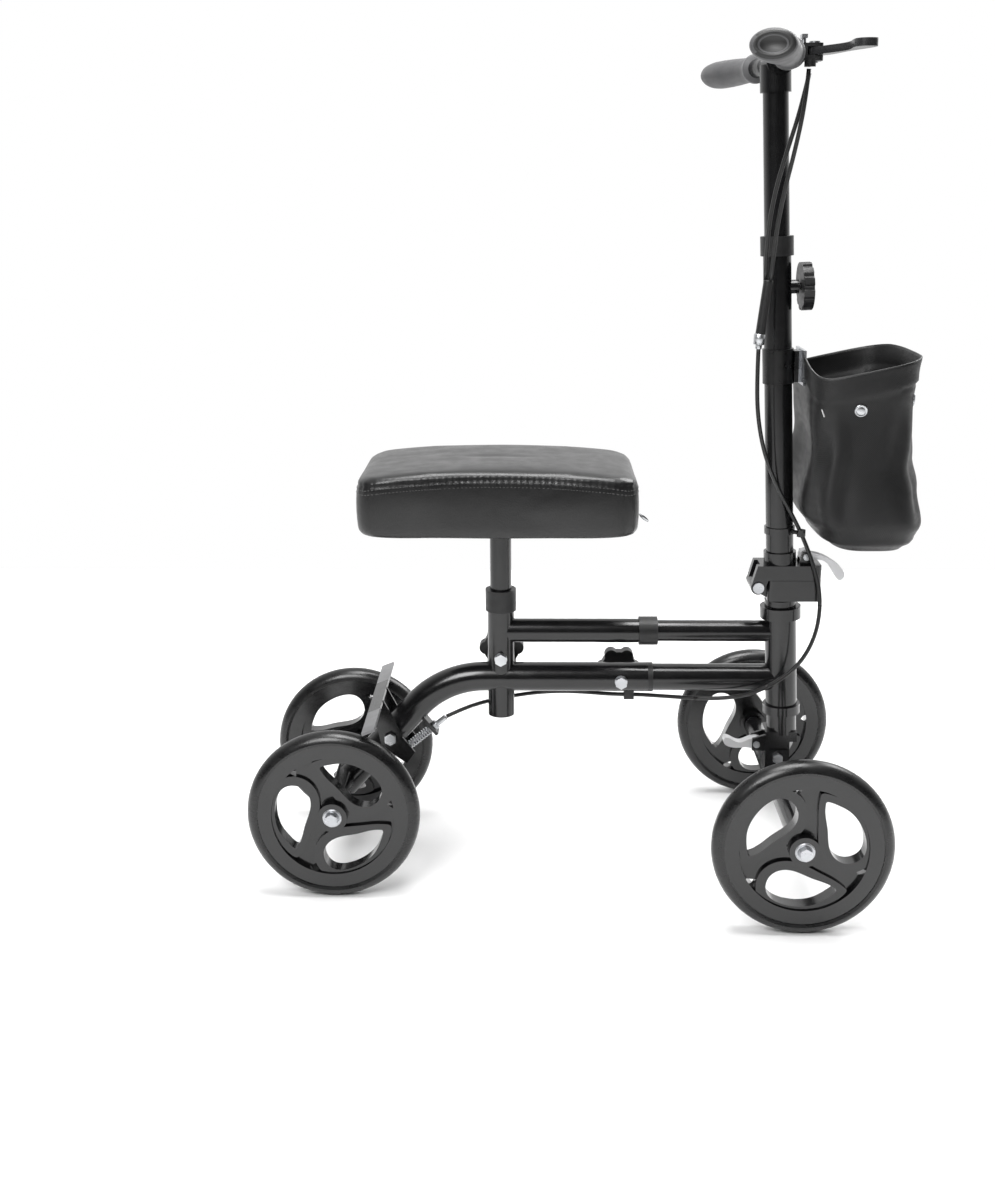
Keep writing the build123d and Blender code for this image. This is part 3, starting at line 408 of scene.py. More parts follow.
def settle(piece: bpy.types.Object) -> None:
    """Apply every modifier of a piece by taking its evaluated mesh.

    Args:
        piece: The object.
    """
    bpy.context.view_layer.update()
    graph = bpy.context.evaluated_depsgraph_get()
    mesh = bpy.data.meshes.new_from_object(piece.evaluated_get(graph))
    mesh.name = piece.name
    piece.modifiers.clear()
    piece.data = mesh


def mixed(table: Sequence[tuple[float, float]], value: float) -> float:
    """Smooth value between the rows of a small table.

    Args:
        table: Rows of place and value, in rising order of place.
        value: The place asked for.

    Returns:
        The value there.
    """
    if value <= table[0][0]:
        return table[0][1]
    for (low, first), (high, second) in zip(table, table[1:]):
        if value <= high:
            share = (value - low) / (high - low)
            share = share * share * (3 - 2 * share)
            return first + (second - first) * share
    return table[-1][1]


def smooth_route(name: str, route: Sequence[Vector]) -> list[Vector]:
    """Points along a smooth curve that has the route as its control points.

    Args:
        name: Name of the guide curve.
        route: Control points in metres.

    Returns:
        Points from the first end to the last.
    """
    curve = bpy.data.curves.new(name, "CURVE")
    curve.dimensions = "3D"
    curve.resolution_u = 8
    spline = curve.splines.new("NURBS")
    spline.points.add(len(route) - 1)
    for knot, point in zip(spline.points, route):
        knot.co = (*point, 1)
    spline.order_u = 3
    spline.use_endpoint_u = True
    guide = bpy.data.objects.new(name, curve)
    bpy.context.scene.collection.objects.link(guide)
    bpy.context.view_layer.update()
    mesh = bpy.data.meshes.new_from_object(guide.evaluated_get(bpy.context.evaluated_depsgraph_get()))
    bpy.data.objects.remove(guide)
    return [vertex.co.copy() for vertex in mesh.vertices]


def swept_tube(name: str, path: Sequence[Vector], radius: float, finish: bpy.types.Material,
               around: int = 12) -> bpy.types.Object:
    """Round tube along a path, closed at both ends.

    Args:
        name: Piece name.
        path: Points along the middle of the tube.
        radius: Tube radius.
        finish: Material.
        around: Points in each ring.

    Returns:
        The tube.
    """
    rings: list[Vector] = []
    across = Vector((0, 1, 0))
    last = len(path) - 1
    for index, middle in enumerate(path):
        along = (path[min(index + 1, last)] - path[max(index - 1, 0)]).normalized()
        across = (across - along * across.dot(along)).normalized()
        third = along.cross(across)
        for step in range(around):
            turn = 2 * pi * step / around
            rings.append(middle + (across * cos(turn) + third * sin(turn)) * radius)
    return new_piece(name, rings, ring_faces(len(path), around), [finish])


class Repeater:
    """Puts copies of a small part on points, with a node tree built here."""

    def __init__(self, name: str, part: bpy.types.Object, finish: bpy.types.Material) -> None:
        """Build the tree.

        Args:
            name: Name of the tree.
            part: Object to copy; it lies along its own X with Z outwards.
            finish: Material of the copies.
        """
        self.part = part
        tree = bpy.data.node_groups.new(name, "GeometryNodeTree")
        tree.interface.new_socket("Geometry", in_out="INPUT", socket_type="NodeSocketGeometry")
        self.size_socket = tree.interface.new_socket("Size", in_out="INPUT", socket_type="NodeSocketFloat")
        tree.interface.new_socket("Geometry", in_out="OUTPUT", socket_type="NodeSocketGeometry")
        entry = tree.nodes.new("NodeGroupInput")
        leave = tree.nodes.new("NodeGroupOutput")
        source = tree.nodes.new("GeometryNodeObjectInfo")
        source.inputs["Object"].default_value = part
        outward = self._direction(tree, "outward")
        along = self._direction(tree, "along")
        first = tree.nodes.new("FunctionNodeAlignRotationToVector")
        first.axis = "Z"
        second = tree.nodes.new("FunctionNodeAlignRotationToVector")
        second.axis = "X"
        second.pivot_axis = "Z"
        copies = tree.nodes.new("GeometryNodeInstanceOnPoints")
        real = tree.nodes.new("GeometryNodeRealizeInstances")
        paint = tree.nodes.new("GeometryNodeSetMaterial")
        paint.inputs["Material"].default_value = finish
        link = tree.links.new
        link(outward, first.inputs["Vector"])
        link(first.outputs["Rotation"], second.inputs["Rotation"])
        link(along, second.inputs["Vector"])
        link(entry.outputs["Geometry"], copies.inputs["Points"])
        link(source.outputs["Geometry"], copies.inputs["Instance"])
        link(second.outputs["Rotation"], copies.inputs["Rotation"])
        link(entry.outputs["Size"], copies.inputs["Scale"])
        link(copies.outputs["Instances"], real.inputs["Geometry"])
        link(real.outputs["Geometry"], paint.inputs["Geometry"])
        link(paint.outputs["Geometry"], leave.inputs["Geometry"])
        self.tree = tree

    @staticmethod
    def _direction(tree: bpy.types.NodeTree, name: str) -> bpy.types.NodeSocket:
        """Socket of a stored direction of each point.

        Args:
            tree: Node tree that gets the reader.
            name: Name of the stored direction.

        Returns:
            Vector socket.
        """
        made = tree.nodes.new("GeometryNodeInputNamedAttribute")
        made.data_type = "FLOAT_VECTOR"
        made.inputs["Name"].default_value = name
        return made.outputs["Attribute"]

    def build(self, name: str, places: Sequence[tuple[Vector, Vector, Vector]],
              size: float = 1.0) -> bpy.types.Object:
        """Copy the part to each place and make one plain mesh.

        Args:
            name: Piece name.
            places: Point, outward direction and lengthwise direction of each copy.
            size: Scale of the copies.

        Returns:
            The finished piece.
        """
        mesh = bpy.data.meshes.new(name)
        mesh.from_pydata([tuple(point) for point, _, _ in places], [], [])
        for title, column in (("outward", 1), ("along", 2)):
            stored = mesh.attributes.new(title, "FLOAT_VECTOR", "POINT")
            for item, place in zip(stored.data, places):
                item.vector = place[column]
        piece = bpy.data.objects.new(name, mesh)
        bpy.context.scene.collection.objects.link(piece)
        modifier = piece.modifiers.new("copies", "NODES")
        modifier.node_group = self.tree
        modifier[self.size_socket.identifier] = size
        settle(piece)
        for title in ("outward", "along"):
            stored = piece.data.attributes.get(title)
            if stored is not None:
                piece.data.attributes.remove(stored)
        piece.data.shade_smooth()
        return piece


def hidden_part(name: str, rings: Sequence[tuple[float, float]], around: int,
                stretch: Point = (1, 1, 1)) -> bpy.types.Object:
    """Small turned part used as a source for copies, then taken off the scene.

    Args:
        name: Part name.
        rings: Height and radius of each ring, bottom first.
        around: Points in each ring.
        stretch: Stretch along each axis.

    Returns:
        The part, not linked to the scene.
    """
    points = []
    for height, radius in rings:
        for step in range(around):
            turn = 2 * pi * step / around
            points.append(Vector((radius * cos(turn) * stretch[0], radius * sin(turn) * stretch[1],
                                  height * stretch[2])))
    part = new_piece(name, points, ring_faces(len(rings), around), ())
    bpy.context.scene.collection.objects.unlink(part)
    return part


# ---- sub-assemblies ----

@dataclass
class FrameFinishes:
    """Finishes of the CAD pieces that stay as they are."""

    slots: dict[str, Finish] = field(default_factory=lambda: {
        "black_powder_coat": POWDER_COAT, "black_moulding": MOULDING, "wheel_moulding": WHEEL_PLASTIC,
        "tyre_rubber": TYRE, "zinc_plate": ZINC, "lever_alloy": LEVER_ALLOY,
        "brake_lever_alloy": BLADE_COAT, "cable_jacket": CABLE_SKIN, "grip_rubber": GRIP_SKIN,
        "seat_vinyl": VINYL, "basket_nylon": NYLON})
    by_node: dict[str, Finish] = field(default_factory=lambda: {"brake_shoes": SHOE_STEEL})
    made: dict[str, bpy.types.Material] = field(default_factory=dict)

    def two_tone(self, split: float) -> bpy.types.Material:
        """Black coat behind a plane across the scooter and bright zinc ahead of it.

        Args:
            split: Place of the plane ahead of the origin, in metres.

        Returns:
            The material.
        """
        shader = Shader("coated_band_zinc_tab", 0.3)
        parts = shader.node("ShaderNodeSeparateXYZ")
        shader.link(shader.coordinates, parts.inputs["Vector"])
        ahead = shader.range(parts.outputs["X"], 0.0, 1.0, split - 0.0002, split + 0.0002)
        shader.tint(ahead, POWDER_COAT.dark, ZINC.dark)
        shader.link(ahead, shader.bsdf.inputs["Metallic"])
        shader.rough(shader.noise(70.0, 4.0), 0.24, 0.38)
        shader.bump(shader.noise(700.0, 2.0), 0.00008, 0.3)
        return shader.material

    def of(self, finish: Finish) -> bpy.types.Material:
        """Material of a finish, made once.

        Args:
            finish: The finish.

        Returns:
            The material.
        """
        if finish.name not in self.made:
            self.made[finish.name] = finish.material()
        return self.made[finish.name]

    def dress(self, frame: dict) -> None:
        """Give every CAD node the finish of its slot.

        Args:
            frame: The loaded frame.
        """
        for entry in frame["record"]["subparts"]:
            name = entry["node"]
            node = frame["nodes"][name]
            if name == "basket_bracket":
                material = self.two_tone(0.2475)
            else:
                material = self.of(self.by_node.get(name, self.slots[entry["material_slot"]]))
            for holder in node.material_slots:
                holder.material = material


@dataclass
class KneeRest:
    """Padded knee rest with its stitched seams and zip puller."""

    finishes: FrameFinishes
    corner: float = 0.030
    edge: float = 0.010
    crown: float = 0.010
    inset: float = 0.002
    voxel: float = 0.005
    pressure: float = 4.0
    cap: float = 0.005
    calm: int = 90
    seam_drop: float = 0.011
    skirt: float = 0.006
    seam_half: float = 0.0016
    seam_depth: float = 0.0013
    pucker: float = 0.0004
    pucker_half: float = 0.008
    pucker_rate: float = 900.0
    stitch_rows: tuple[float, float] = (0.003, 0.008)
    puller: tuple[float, float, float, float, int] = (0.0055, 0.0026, 0.004, 0.0009, 16)
    stitch_pitch: float = 0.0036
    around: int = 176

    def outline(self, shrink: float) -> list[tuple[float, float]]:
        """Plan outline of the cushion as a rounded rectangle.

        Args:
            shrink: Distance that the outline is moved in.

        Returns:
            Points around the middle of the cushion.
        """
        half_x = self.length / 2 - shrink
        half_y = self.width / 2 - shrink
        radius = max(self.corner - shrink, 0.002)
        points = []
        for step in range(self.around):
            turn = 2 * pi * step / self.around
            corner_x = (half_x - radius) * (1 if cos(turn) >= 0 else -1)
            corner_y = (half_y - radius) * (1 if sin(turn) >= 0 else -1)
            reach = self._reach(turn, half_x, half_y, corner_x, corner_y, radius)
            points.append((reach * cos(turn), reach * sin(turn)))
        return points

    @staticmethod
    def _reach(turn: float, half_x: float, half_y: float, corner_x: float, corner_y: float,
               radius: float) -> float:
        """Distance from the middle to the rounded rectangle in one direction.

        Args:
            turn: The direction, as an angle from straight ahead.
            half_x: Half length of the rectangle.
            half_y: Half width of the rectangle.
            corner_x: Centre of the corner's round, ahead of the middle.
            corner_y: Centre of the corner's round, to the left of the middle.
            radius: Radius of the corner.

        Returns:
            The distance.
        """
        flat = min(half_x / max(abs(cos(turn)), 1e-6), half_y / max(abs(sin(turn)), 1e-6))
        x, y = flat * cos(turn), flat * sin(turn)
        if abs(x) <= abs(corner_x) or abs(y) <= abs(corner_y):
            return flat
        along = corner_x * cos(turn) + corner_y * sin(turn)
        across = corner_x ** 2 + corner_y ** 2 - along ** 2
        return along + sqrt(max(radius ** 2 - across, 0.0))

    def top_at(self, x: float) -> float:
        """Height of the crowned top at a distance from the middle."""
        return self.high - self.crown * (x / (self.length / 2)) ** 2

    def rings(self) -> list[Vector]:
        """Points of the cushion form, from the middle of its base to the middle of its top.

        Returns:
            The points, ring by ring.
        """
        profile = [(0.9, 0.0), (0.06, 0.0), (0.006, 0.0)]
        profile += [(0.006 * (1 - sin(a)), 0.006 * (1 - cos(a))) for a in (0.5, 1.0, pi / 2)]
        profile += [(-0.001 * sin(pi * t), None) for t in (0.15, 0.3, 0.45, 0.6, 0.75, 0.9)]
        points = []
        for index, (shrink, rise) in enumerate(profile):
            points += self._ring(self.inset + min(shrink, 0.085), rise, index)
        for turn in (0.3, 0.7, 1.1, pi / 2):
            points += self._ring(self.inset + self.edge * (1 - cos(turn)), None, 11,
                                 self.edge * (1 - sin(turn)))
        for shrink in (0.03, 0.055, 0.085):
            points += self._ring(self.inset + shrink, None, 11, 0.0)
        return points

    def _ring(self, shrink: float, rise: float | None, index: int,
              drop: float | None = None) -> list[Vector]:
        """One ring of the cushion form.

        Args:
            shrink: Distance in from the outline.
            rise: Height above the base, or None for a share of the side.
            index: Number of the ring, which sets its share of the side.
            drop: Distance under the crowned top, or None on the side.

        Returns:
            The ring's points.
        """
        points = []
        for x, y in self.outline(shrink):
            top = self.top_at(x) - self.inset
            low = self.low + 0.0005
            if drop is not None:
                z = top - drop
            elif rise is not None:
                z = low + rise
            else:
                z = low + 0.006 + (top - self.edge - low - 0.006) * (index - 5) / 7
            points.append(Vector((self.middle + x, y, z)))
        return points

    def form(self) -> bpy.types.Object:
        """Plain closed form of the cushion, before it is filled.

        Returns:
            The cushion's object.
        """
        points = self.rings()
        faces = ring_faces(len(points) // self.around, self.around)
        return new_piece("knee_cushion", points, faces, [self.finishes.of(VINYL)])

    def fill(self, cushion: bpy.types.Object) -> None:
        """Inflate the cushion with a short cloth simulation.

        Args:
            cushion: The plain form.
        """
        remesh = cushion.modifiers.new("even", "REMESH")
        remesh.mode = "VOXEL"
        remesh.voxel_size = self.voxel
        settle(cushion)
        before = [v.co.copy() for v in cushion.data.vertices]
        cloth = cushion.modifiers.new("fill", "CLOTH")
        cloth.settings.quality = 5
        cloth.settings.use_pressure = True
        cloth.settings.uniform_pressure_force = self.pressure
        cloth.settings.effector_weights.gravity = 0.0
        cloth.settings.tension_stiffness = 30
        cloth.settings.compression_stiffness = 30
        cloth.point_cache.frame_start = 1
        cloth.point_cache.frame_end = 20
        for step in range(1, 21):
            bpy.context.scene.frame_set(step)
        graph = bpy.context.evaluated_depsgraph_get()
        swollen = cushion.evaluated_get(graph).data
        after = [v.co.copy() for v in swollen.vertices]
        cushion.modifiers.clear()
        bpy.context.scene.frame_set(1)
        moves = [end - start for start, end in zip(before, after)]
        for _ in range(self.calm):
            moves = self._spread(cushion.data, moves)
        for vertex, start, move in zip(cushion.data.vertices, before, moves):
            if move.length > self.cap:
                move = move * (self.cap / move.length)
            vertex.co = start + move
        self.refit(cushion)

    @staticmethod
    def _spread(mesh: bpy.types.Mesh, moves: list[Vector]) -> list[Vector]:
        """Average each point's movement with those of its neighbours.

        Args:
            mesh: The cushion's mesh.
            moves: Movement of each point.

        Returns:
            The calmer movements.
        """
        total = [move.copy() for move in moves]
        count = [1] * len(moves)
        for edge in mesh.edges:
            first, second = edge.vertices
            total[first] += moves[second]
            total[second] += moves[first]
            count[first] += 1
            count[second] += 1
        return [whole / share for whole, share in zip(total, count)]

    def refit(self, cushion: bpy.types.Object) -> None:
        """Bring the filled cushion back to its full length, width and height.

        Args:
            cushion: The filled cushion.
        """
        wanted = ((self.middle - self.length / 2, self.middle + self.length / 2),
                  (-self.width / 2, self.width / 2), (self.low + 0.0003, self.high))
        for axis, (low, high) in enumerate(wanted):
            values = [vertex.co[axis] for vertex in cushion.data.vertices]
            least, most = min(values), max(values)
            for vertex in cushion.data.vertices:
                share = (vertex.co[axis] - least) / (most - least)
                vertex.co[axis] = low + share * (high - low)

    def pull_seams(self, cushion: bpy.types.Object) -> None:
        """Press the sewn lines into the cushion and relax the skin between them.

        Args:
            cushion: The filled cushion.
        """
        smooth = cushion.modifiers.new("relax", "SMOOTH")
        smooth.factor = 0.5
        smooth.iterations = 3
        fine = cushion.modifiers.new("fine", "SUBSURF")
        fine.levels = fine.render_levels = 1
        settle(cushion)
        for vertex in cushion.data.vertices:
            x, y, z = vertex.co.x - self.middle, vertex.co.y, vertex.co.z
            line = self.top_at(x) - self.seam_drop
            side = self._sideways(x, y)
            near = exp(-((z - line) / self.seam_half) ** 2) * side
            fade = exp(-((z - line) / self.pucker_half) ** 2) * side
            pucker = self.pucker * sin(x * self.pucker_rate) * fade
            outward = Vector((x / self.length * self.width, y, 0)).normalized()
            vertex.co -= outward * (self.seam_depth * near + pucker)
        cushion.data.shade_smooth()

    def _sideways(self, x: float, y: float) -> float:
        """1 on the sides of the cushion and 0 on its top or base."""
        reach = max(abs(x) / (self.length / 2), abs(y) / (self.width / 2))
        return 1.0 if reach > 0.88 else 0.0

    def stitches(self, cushion: bpy.types.Object) -> bpy.types.Object:
        """Two rows of stitches along the seam under the top edge.

        Args:
            cushion: The finished cushion.

        Returns:
            The stitches as one piece.
        """
        thread = hidden_part("thread_loop", [(-0.0011, 0.00018), (-0.0008, 0.0004), (0.0008, 0.0004),
                                             (0.0011, 0.00018)], 6)
        thread.data.transform(Matrix.Rotation(pi / 2, 4, "Y"))
        places = []
        outline = self.outline(-0.02)
        for (x, y), (after_x, after_y) in zip(outline, outline[1:] + outline[:1]):
            gap = sqrt((after_x - x) ** 2 + (after_y - y) ** 2)
            count = max(1, round(gap / self.stitch_pitch))
            for step in range(count):
                share = step / count
                spot_x, spot_y = x + (after_x - x) * share, y + (after_y - y) * share
                along = Vector((after_x - x, after_y - y, 0)).normalized()
                height = self.top_at(max(min(spot_x, self.length / 2), -self.length / 2))
                for drop in self.stitch_rows:
                    places += self._touch(cushion, spot_x, spot_y, height - self.seam_drop - drop, along)
        return Repeater("stitch_tree", thread, self.finishes.of(THREAD)).build("knee_rest_stitches", places)

    def _touch(self, cushion: bpy.types.Object, x: float, y: float, z: float,
               along: Vector) -> list[tuple[Vector, Vector, Vector]]:
        """Place on the cushion's side that a point beside it looks at.

        Args:
            cushion: The finished cushion.
            x: Distance ahead of the middle.
            y: Distance to the left.
            z: Height.
            along: Direction of the seam.

        Returns:
            One place, or none where the cushion is missed.
        """
        start = Vector((self.middle + x, y, z))
        inward = Vector((along.y, -along.x, 0))
        if inward.dot(Vector((x, y, 0))) > 0:
            inward = -inward
        hit, spot, normal, _ = cushion.ray_cast(start, inward, distance=0.06)
        return [(spot, normal, along)] if hit else []

    def zip_puller(self) -> bpy.types.Object:
        """Small metal puller at the front end of the cushion's zip.

        Returns:
            The puller, hanging outwards and down.
        """
        long_half, short_half, droop, thick_half, around = self.puller
        middle = Vector((self.middle + self.length / 2 + 0.006, -0.055, self.low + 0.020))
        points = []
        for side in (-thick_half, thick_half):
            for step in range(around):
                turn = 2 * pi * step / around
                points.append(middle + Vector((long_half * cos(turn), side,
                                               short_half * sin(turn) - droop * cos(turn))))
        return new_piece("zip_puller", points, ring_faces(2, around), [self.finishes.of(ZINC)])

    def build(self) -> None:
        """Make the whole knee rest and put it on the seat body."""
        low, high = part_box("seat_cushion")
        self.low, self.high = low[2] - self.skirt, high[2]
        self.length, self.width = high[0] - low[0], high[1] - low[1]
        self.middle = (low[0] + high[0]) / 2
        cushion = self.form()
        self.fill(cushion)
        self.pull_seams(cushion)
        stitches = self.stitches(cushion)
        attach(cushion, "seat")
        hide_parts("seat_cushion")
        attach(stitches, "seat")
        puller = self.zip_puller()
        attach(puller, "seat")
        LOG.info("knee rest: %d points", len(cushion.data.vertices))


@dataclass
class Basket:
    """Soft basket as a lofted shell with a hem, rivets and sagging sides."""

    finishes: FrameFinishes
    around: int = 128
    steps: int = 60
    wall: float = 0.0018
    hem: float = 0.029
    squareness: float = 3.4
    rim_back: float = 0.5955
    rim_rise: float = 0.0265
    rim_tab: float = 0.622
    hem_step: float = 0.0022
    seam_dip: float = 0.0008
    edge_bead: float = 0.0006
    base_middle: tuple[float, float, float] = (0.614, 0.0, 0.3975)
    front: tuple[tuple[float, float], ...] = ((0.400, 636), (0.404, 655), (0.414, 667), (0.432, 675),
                                              (0.47, 670), (0.505, 661), (0.56, 658), (0.60, 662),
                                              (0.63, 665))
    back: tuple[tuple[float, float], ...] = ((0.400, 588), (0.404, 572), (0.414, 558), (0.44, 543),
                                             (0.47, 542), (0.52, 547), (0.56, 543), (0.63, 541))
    half: tuple[tuple[float, float], ...] = ((0.400, 60), (0.404, 74), (0.414, 86), (0.44, 93),
                                             (0.50, 88), (0.56, 87), (0.60, 90), (0.63, 92))
    rivet_spots: tuple[tuple[Point, Point], ...] = (
        ((591, -120, 566), (0, 1, 0)), ((591, 120, 566), (0, -1, 0)), ((600, -46, 603), (-1, 0, 0)),
        ((600, 46, 603), (-1, 0, 0)), ((720, -58, 574), (-1, 0, 0)), ((720, 58, 574), (-1, 0, 0)))

    def rim(self, x: float, across: float) -> float:
        """Height of the rim: high at the bracket and the front, lower at the back corners.

        Args:
            x: Distance ahead of the rear axle, in metres.
            across: Share of the half width, from 0 to 1.

        Returns:
            Height in metres.
        """
        slope = self.rim_back + self.rim_rise * min(max((x - 0.530) / 0.125, 0.0), 1.0)
        at_back = exp(-((x - 0.536) / 0.016) ** 2) * (1 - across ** 2)
        return slope + (self.rim_tab - slope) * at_back

    def spot(self, turn: float, height: float) -> Vector:
        """Point of the outer face.

        Args:
            turn: Angle around the basket, 0 at the front.
            height: Height in metres.

        Returns:
            The point, before the frame's origin shift.
        """
        front = mixed(self.front, height) * MM
        back = mixed(self.back, height) * MM
        half = mixed(self.half, height) * MM
        power = 2 / self.squareness
        c, s = cos(turn), sin(turn)
        x_share = abs(c) ** power * (1 if c >= 0 else -1)
        y_share = abs(s) ** power * (1 if s >= 0 else -1)
        x = (front + back) / 2 + (front - back) / 2 * x_share
        rear = max(-x_share, 0.0)
        x -= 0.015 * y_share ** 2 * rear * mixed(((0.42, 0.0), (0.46, 1.0)), height)
        y = half * y_share
        fold = self.folds(turn, height)
        outward = Vector((c, s, 0))
        return Vector((x, y, height)) + outward * fold

    def folds(self, turn: float, height: float) -> float:
        """Outward movement of the loose cloth.

        Args:
            turn: Angle around the basket, 0 at the front.
            height: Height in metres.

        Returns:
            The movement in metres, none at the floor and the hem.
        """
        middle = max(0.0, sin(pi * min(max((height - 0.405) / 0.175, 0.0), 1.0)))
        side = sin(turn)
        drape = 0.0034 * sin(3 * turn + 26 * height + 0.6) + 0.0022 * sin(7 * turn - 34 * height)
        crease = -0.006 * exp(-((turn - 4.55 - 1.6 * (height - 0.5)) / 0.13) ** 2)
        crease += -0.003 * exp(-((turn - 1.75 + 1.2 * (height - 0.5)) / 0.12) ** 2)
        grain = 0.0016 * noise.noise(Vector((3 * cos(turn), 3 * side, 22 * height)))
        return middle * (drape + crease + grain)

    def build(self) -> None:
        """Make the basket, its bar tacks and its rivets, and put them on the column body."""
        points: list[Vector] = []
        levels = 0
        for shrink in (0.15, 0.4, 0.65, 0.85):
            for step in range(self.around):
                edge = self.spot(2 * pi * step / self.around, 0.400)
                centre = Vector(self.base_middle)
                points.append(centre + (edge - centre) * shrink)
            levels += 1
        for level in range(self.steps + 1):
            share = level / self.steps
            for step in range(self.around):
                turn = 2 * pi * step / self.around
                guess = self.spot(turn, 0.6)
                rim = self.rim(guess.x, min(abs(guess.y) / 0.09, 1.0))
                height = 0.400 + (rim - 0.400) * share
                place = self.spot(turn, height)
                under = rim - height
                band = self.hem_step if under < self.hem else 0.0
                band -= self.seam_dip * exp(-((under - self.hem) / 0.0015) ** 2)
                bead = self.edge_bead * exp(-((under - 0.002) / 0.002) ** 2)
                points.append(place + Vector((cos(turn), sin(turn), 0)) * (band + bead))
            levels += 1
        shifted = [p - Vector((ORIGIN_X, 0, 0)) for p in points]
        faces = ring_faces(levels, self.around)[:-1]
        bag = new_piece("front_basket_bag", shifted, faces, [self.finishes.of(NYLON)])
        wall = bag.modifiers.new("wall", "SOLIDIFY")
        wall.thickness = self.wall
        wall.offset = -1.0
        wall.use_rim = True
        settle(bag)
        bag.data.shade_smooth()
        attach(bag, "column")
        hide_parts("basket")
        tacks = self.tacks(bag)
        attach(tacks, "column")
        rivets = self.rivets(bag)
        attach(rivets, "column")
        LOG.info("basket: %d points", len(bag.data.vertices))

    def tacks(self, bag: bpy.types.Object) -> bpy.types.Object:
        """Pale bar tacks at the back corners of the side panels.

        Args:
            bag: The finished basket.

        Returns:
            The tacks as one piece.
        """
        bar = hidden_part("tack_bar", [(-0.0045, 0.0004), (-0.004, 0.0008), (0.004, 0.0008),
                                       (0.0045, 0.0004)], 8)
        bar.data.transform(Matrix.Rotation(pi / 2, 4, "Y"))
        places = []
        for side in (-1, 1):
            hit, spot, normal, _ = bag.ray_cast(at(551, side * 120, 562), Vector((0, -side, 0)))
            if hit:
                places.append((spot, normal, Vector((0.45, 0, -0.9))))
        return Repeater("tack_tree", bar, self.finishes.of(TACK_THREAD)).build("basket_bar_tacks", places)

    def rivets(self, bag: bpy.types.Object) -> bpy.types.Object:
        """Snap rivets with a turned cap and a raised ring.

        Args:
            bag: The finished basket.

        Returns:
            The rivets as one piece.
        """
        cap = hidden_part("snap_cap", [(-0.0008, 0.0068), (0.0006, 0.0072), (0.0014, 0.0068),
                                       (0.0015, 0.0058), (0.0009, 0.0052), (0.0009, 0.0042),
                                       (0.0014, 0.0036), (0.0016, 0.001)], 28)
        places = []
        for start, inward in self.rivet_spots:
            hit, spot, normal, _ = bag.ray_cast(at(*start), Vector(inward))
            if hit:
                places.append((spot, normal, Vector((0, 0, 1))))
        return Repeater("rivet_tree", cap, self.finishes.of(ZINC)).build("basket_snap_rivets", places)


@dataclass
class Grips:
    """Grey palm-rest grips on both ends of the handlebar."""

    finishes: FrameFinishes
    around: int = 48
    sections: tuple[tuple[float, float, float, float], ...] = (
        (106, 33, 33, 0), (108, 34.5, 34.5, 0), (111, 34.5, 34.5, 0), (113, 30, 30, 0), (122, 29, 28.5, 0),
        (140, 32, 30, 1), (160, 38, 32, 3), (180, 44, 33, 5.5), (198, 47.5, 33, 7), (208, 47, 31.5, 7),
        (212.5, 44, 28.5, 7), (214, 38, 23, 7), (213.4, 30, 18, 7), (211.5, 26, 15.5, 7))

    def build(self) -> None:
        """Make both grips."""
        bar_x = 525 + (315 - 945) * tan(RAKE)
        inner = Vector((bar_x + 3, 78, 945))
        outer = Vector((bar_x - 30, 211, 944))
        along = outer - inner
        for side, name in ((-1, "right"), (1, "left")):
            rings: list[Vector] = []
            for reach, width, height, back in self._filled():
                centre = inner + along * ((reach - inner.y) / (outer.y - inner.y)) - Vector((back, 0, 0))
                across = along.cross(Vector((0, 0, 1))).normalized()
                for step in range(self.around):
                    turn = 2 * pi * step / self.around
                    spot = centre + across * (width / 2 * cos(turn)) + Vector((0, 0, height / 2 * sin(turn)))
                    rings.append(at(spot.x, side * spot.y, spot.z))
            count = len(rings) // self.around
            grip = new_piece(f"palm_grip_{name}", rings, ring_faces(count, self.around),
                             [self.finishes.of(GRIP_SKIN), self.finishes.of(GRIP_CORE)])
            limit = 209.5 * MM
            for face in grip.data.polygons:
                centre = face.center
                if abs(centre.y) > limit and abs(face.normal.y) > 0.75:
                    face.material_index = 1
            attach(grip, "stem")
            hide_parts(f"grip_{name}")
        LOG.info("grips: 2")

    def _filled(self) -> list[tuple[float, float, float, float]]:
        """Sections with more between each pair on the long palm.

        Returns:
            Reach, width, height and backward shift of each ring.
        """
        rows = []
        for first, second in zip(self.sections, self.sections[1:]):
            extra = 4 if second[0] - first[0] > 8 else 1
            for step in range(extra):
                share = step / extra
                rows.append(tuple(a + (b - a) * share for a, b in zip(first, second)))
        rows.append(self.sections[-1])
        return rows


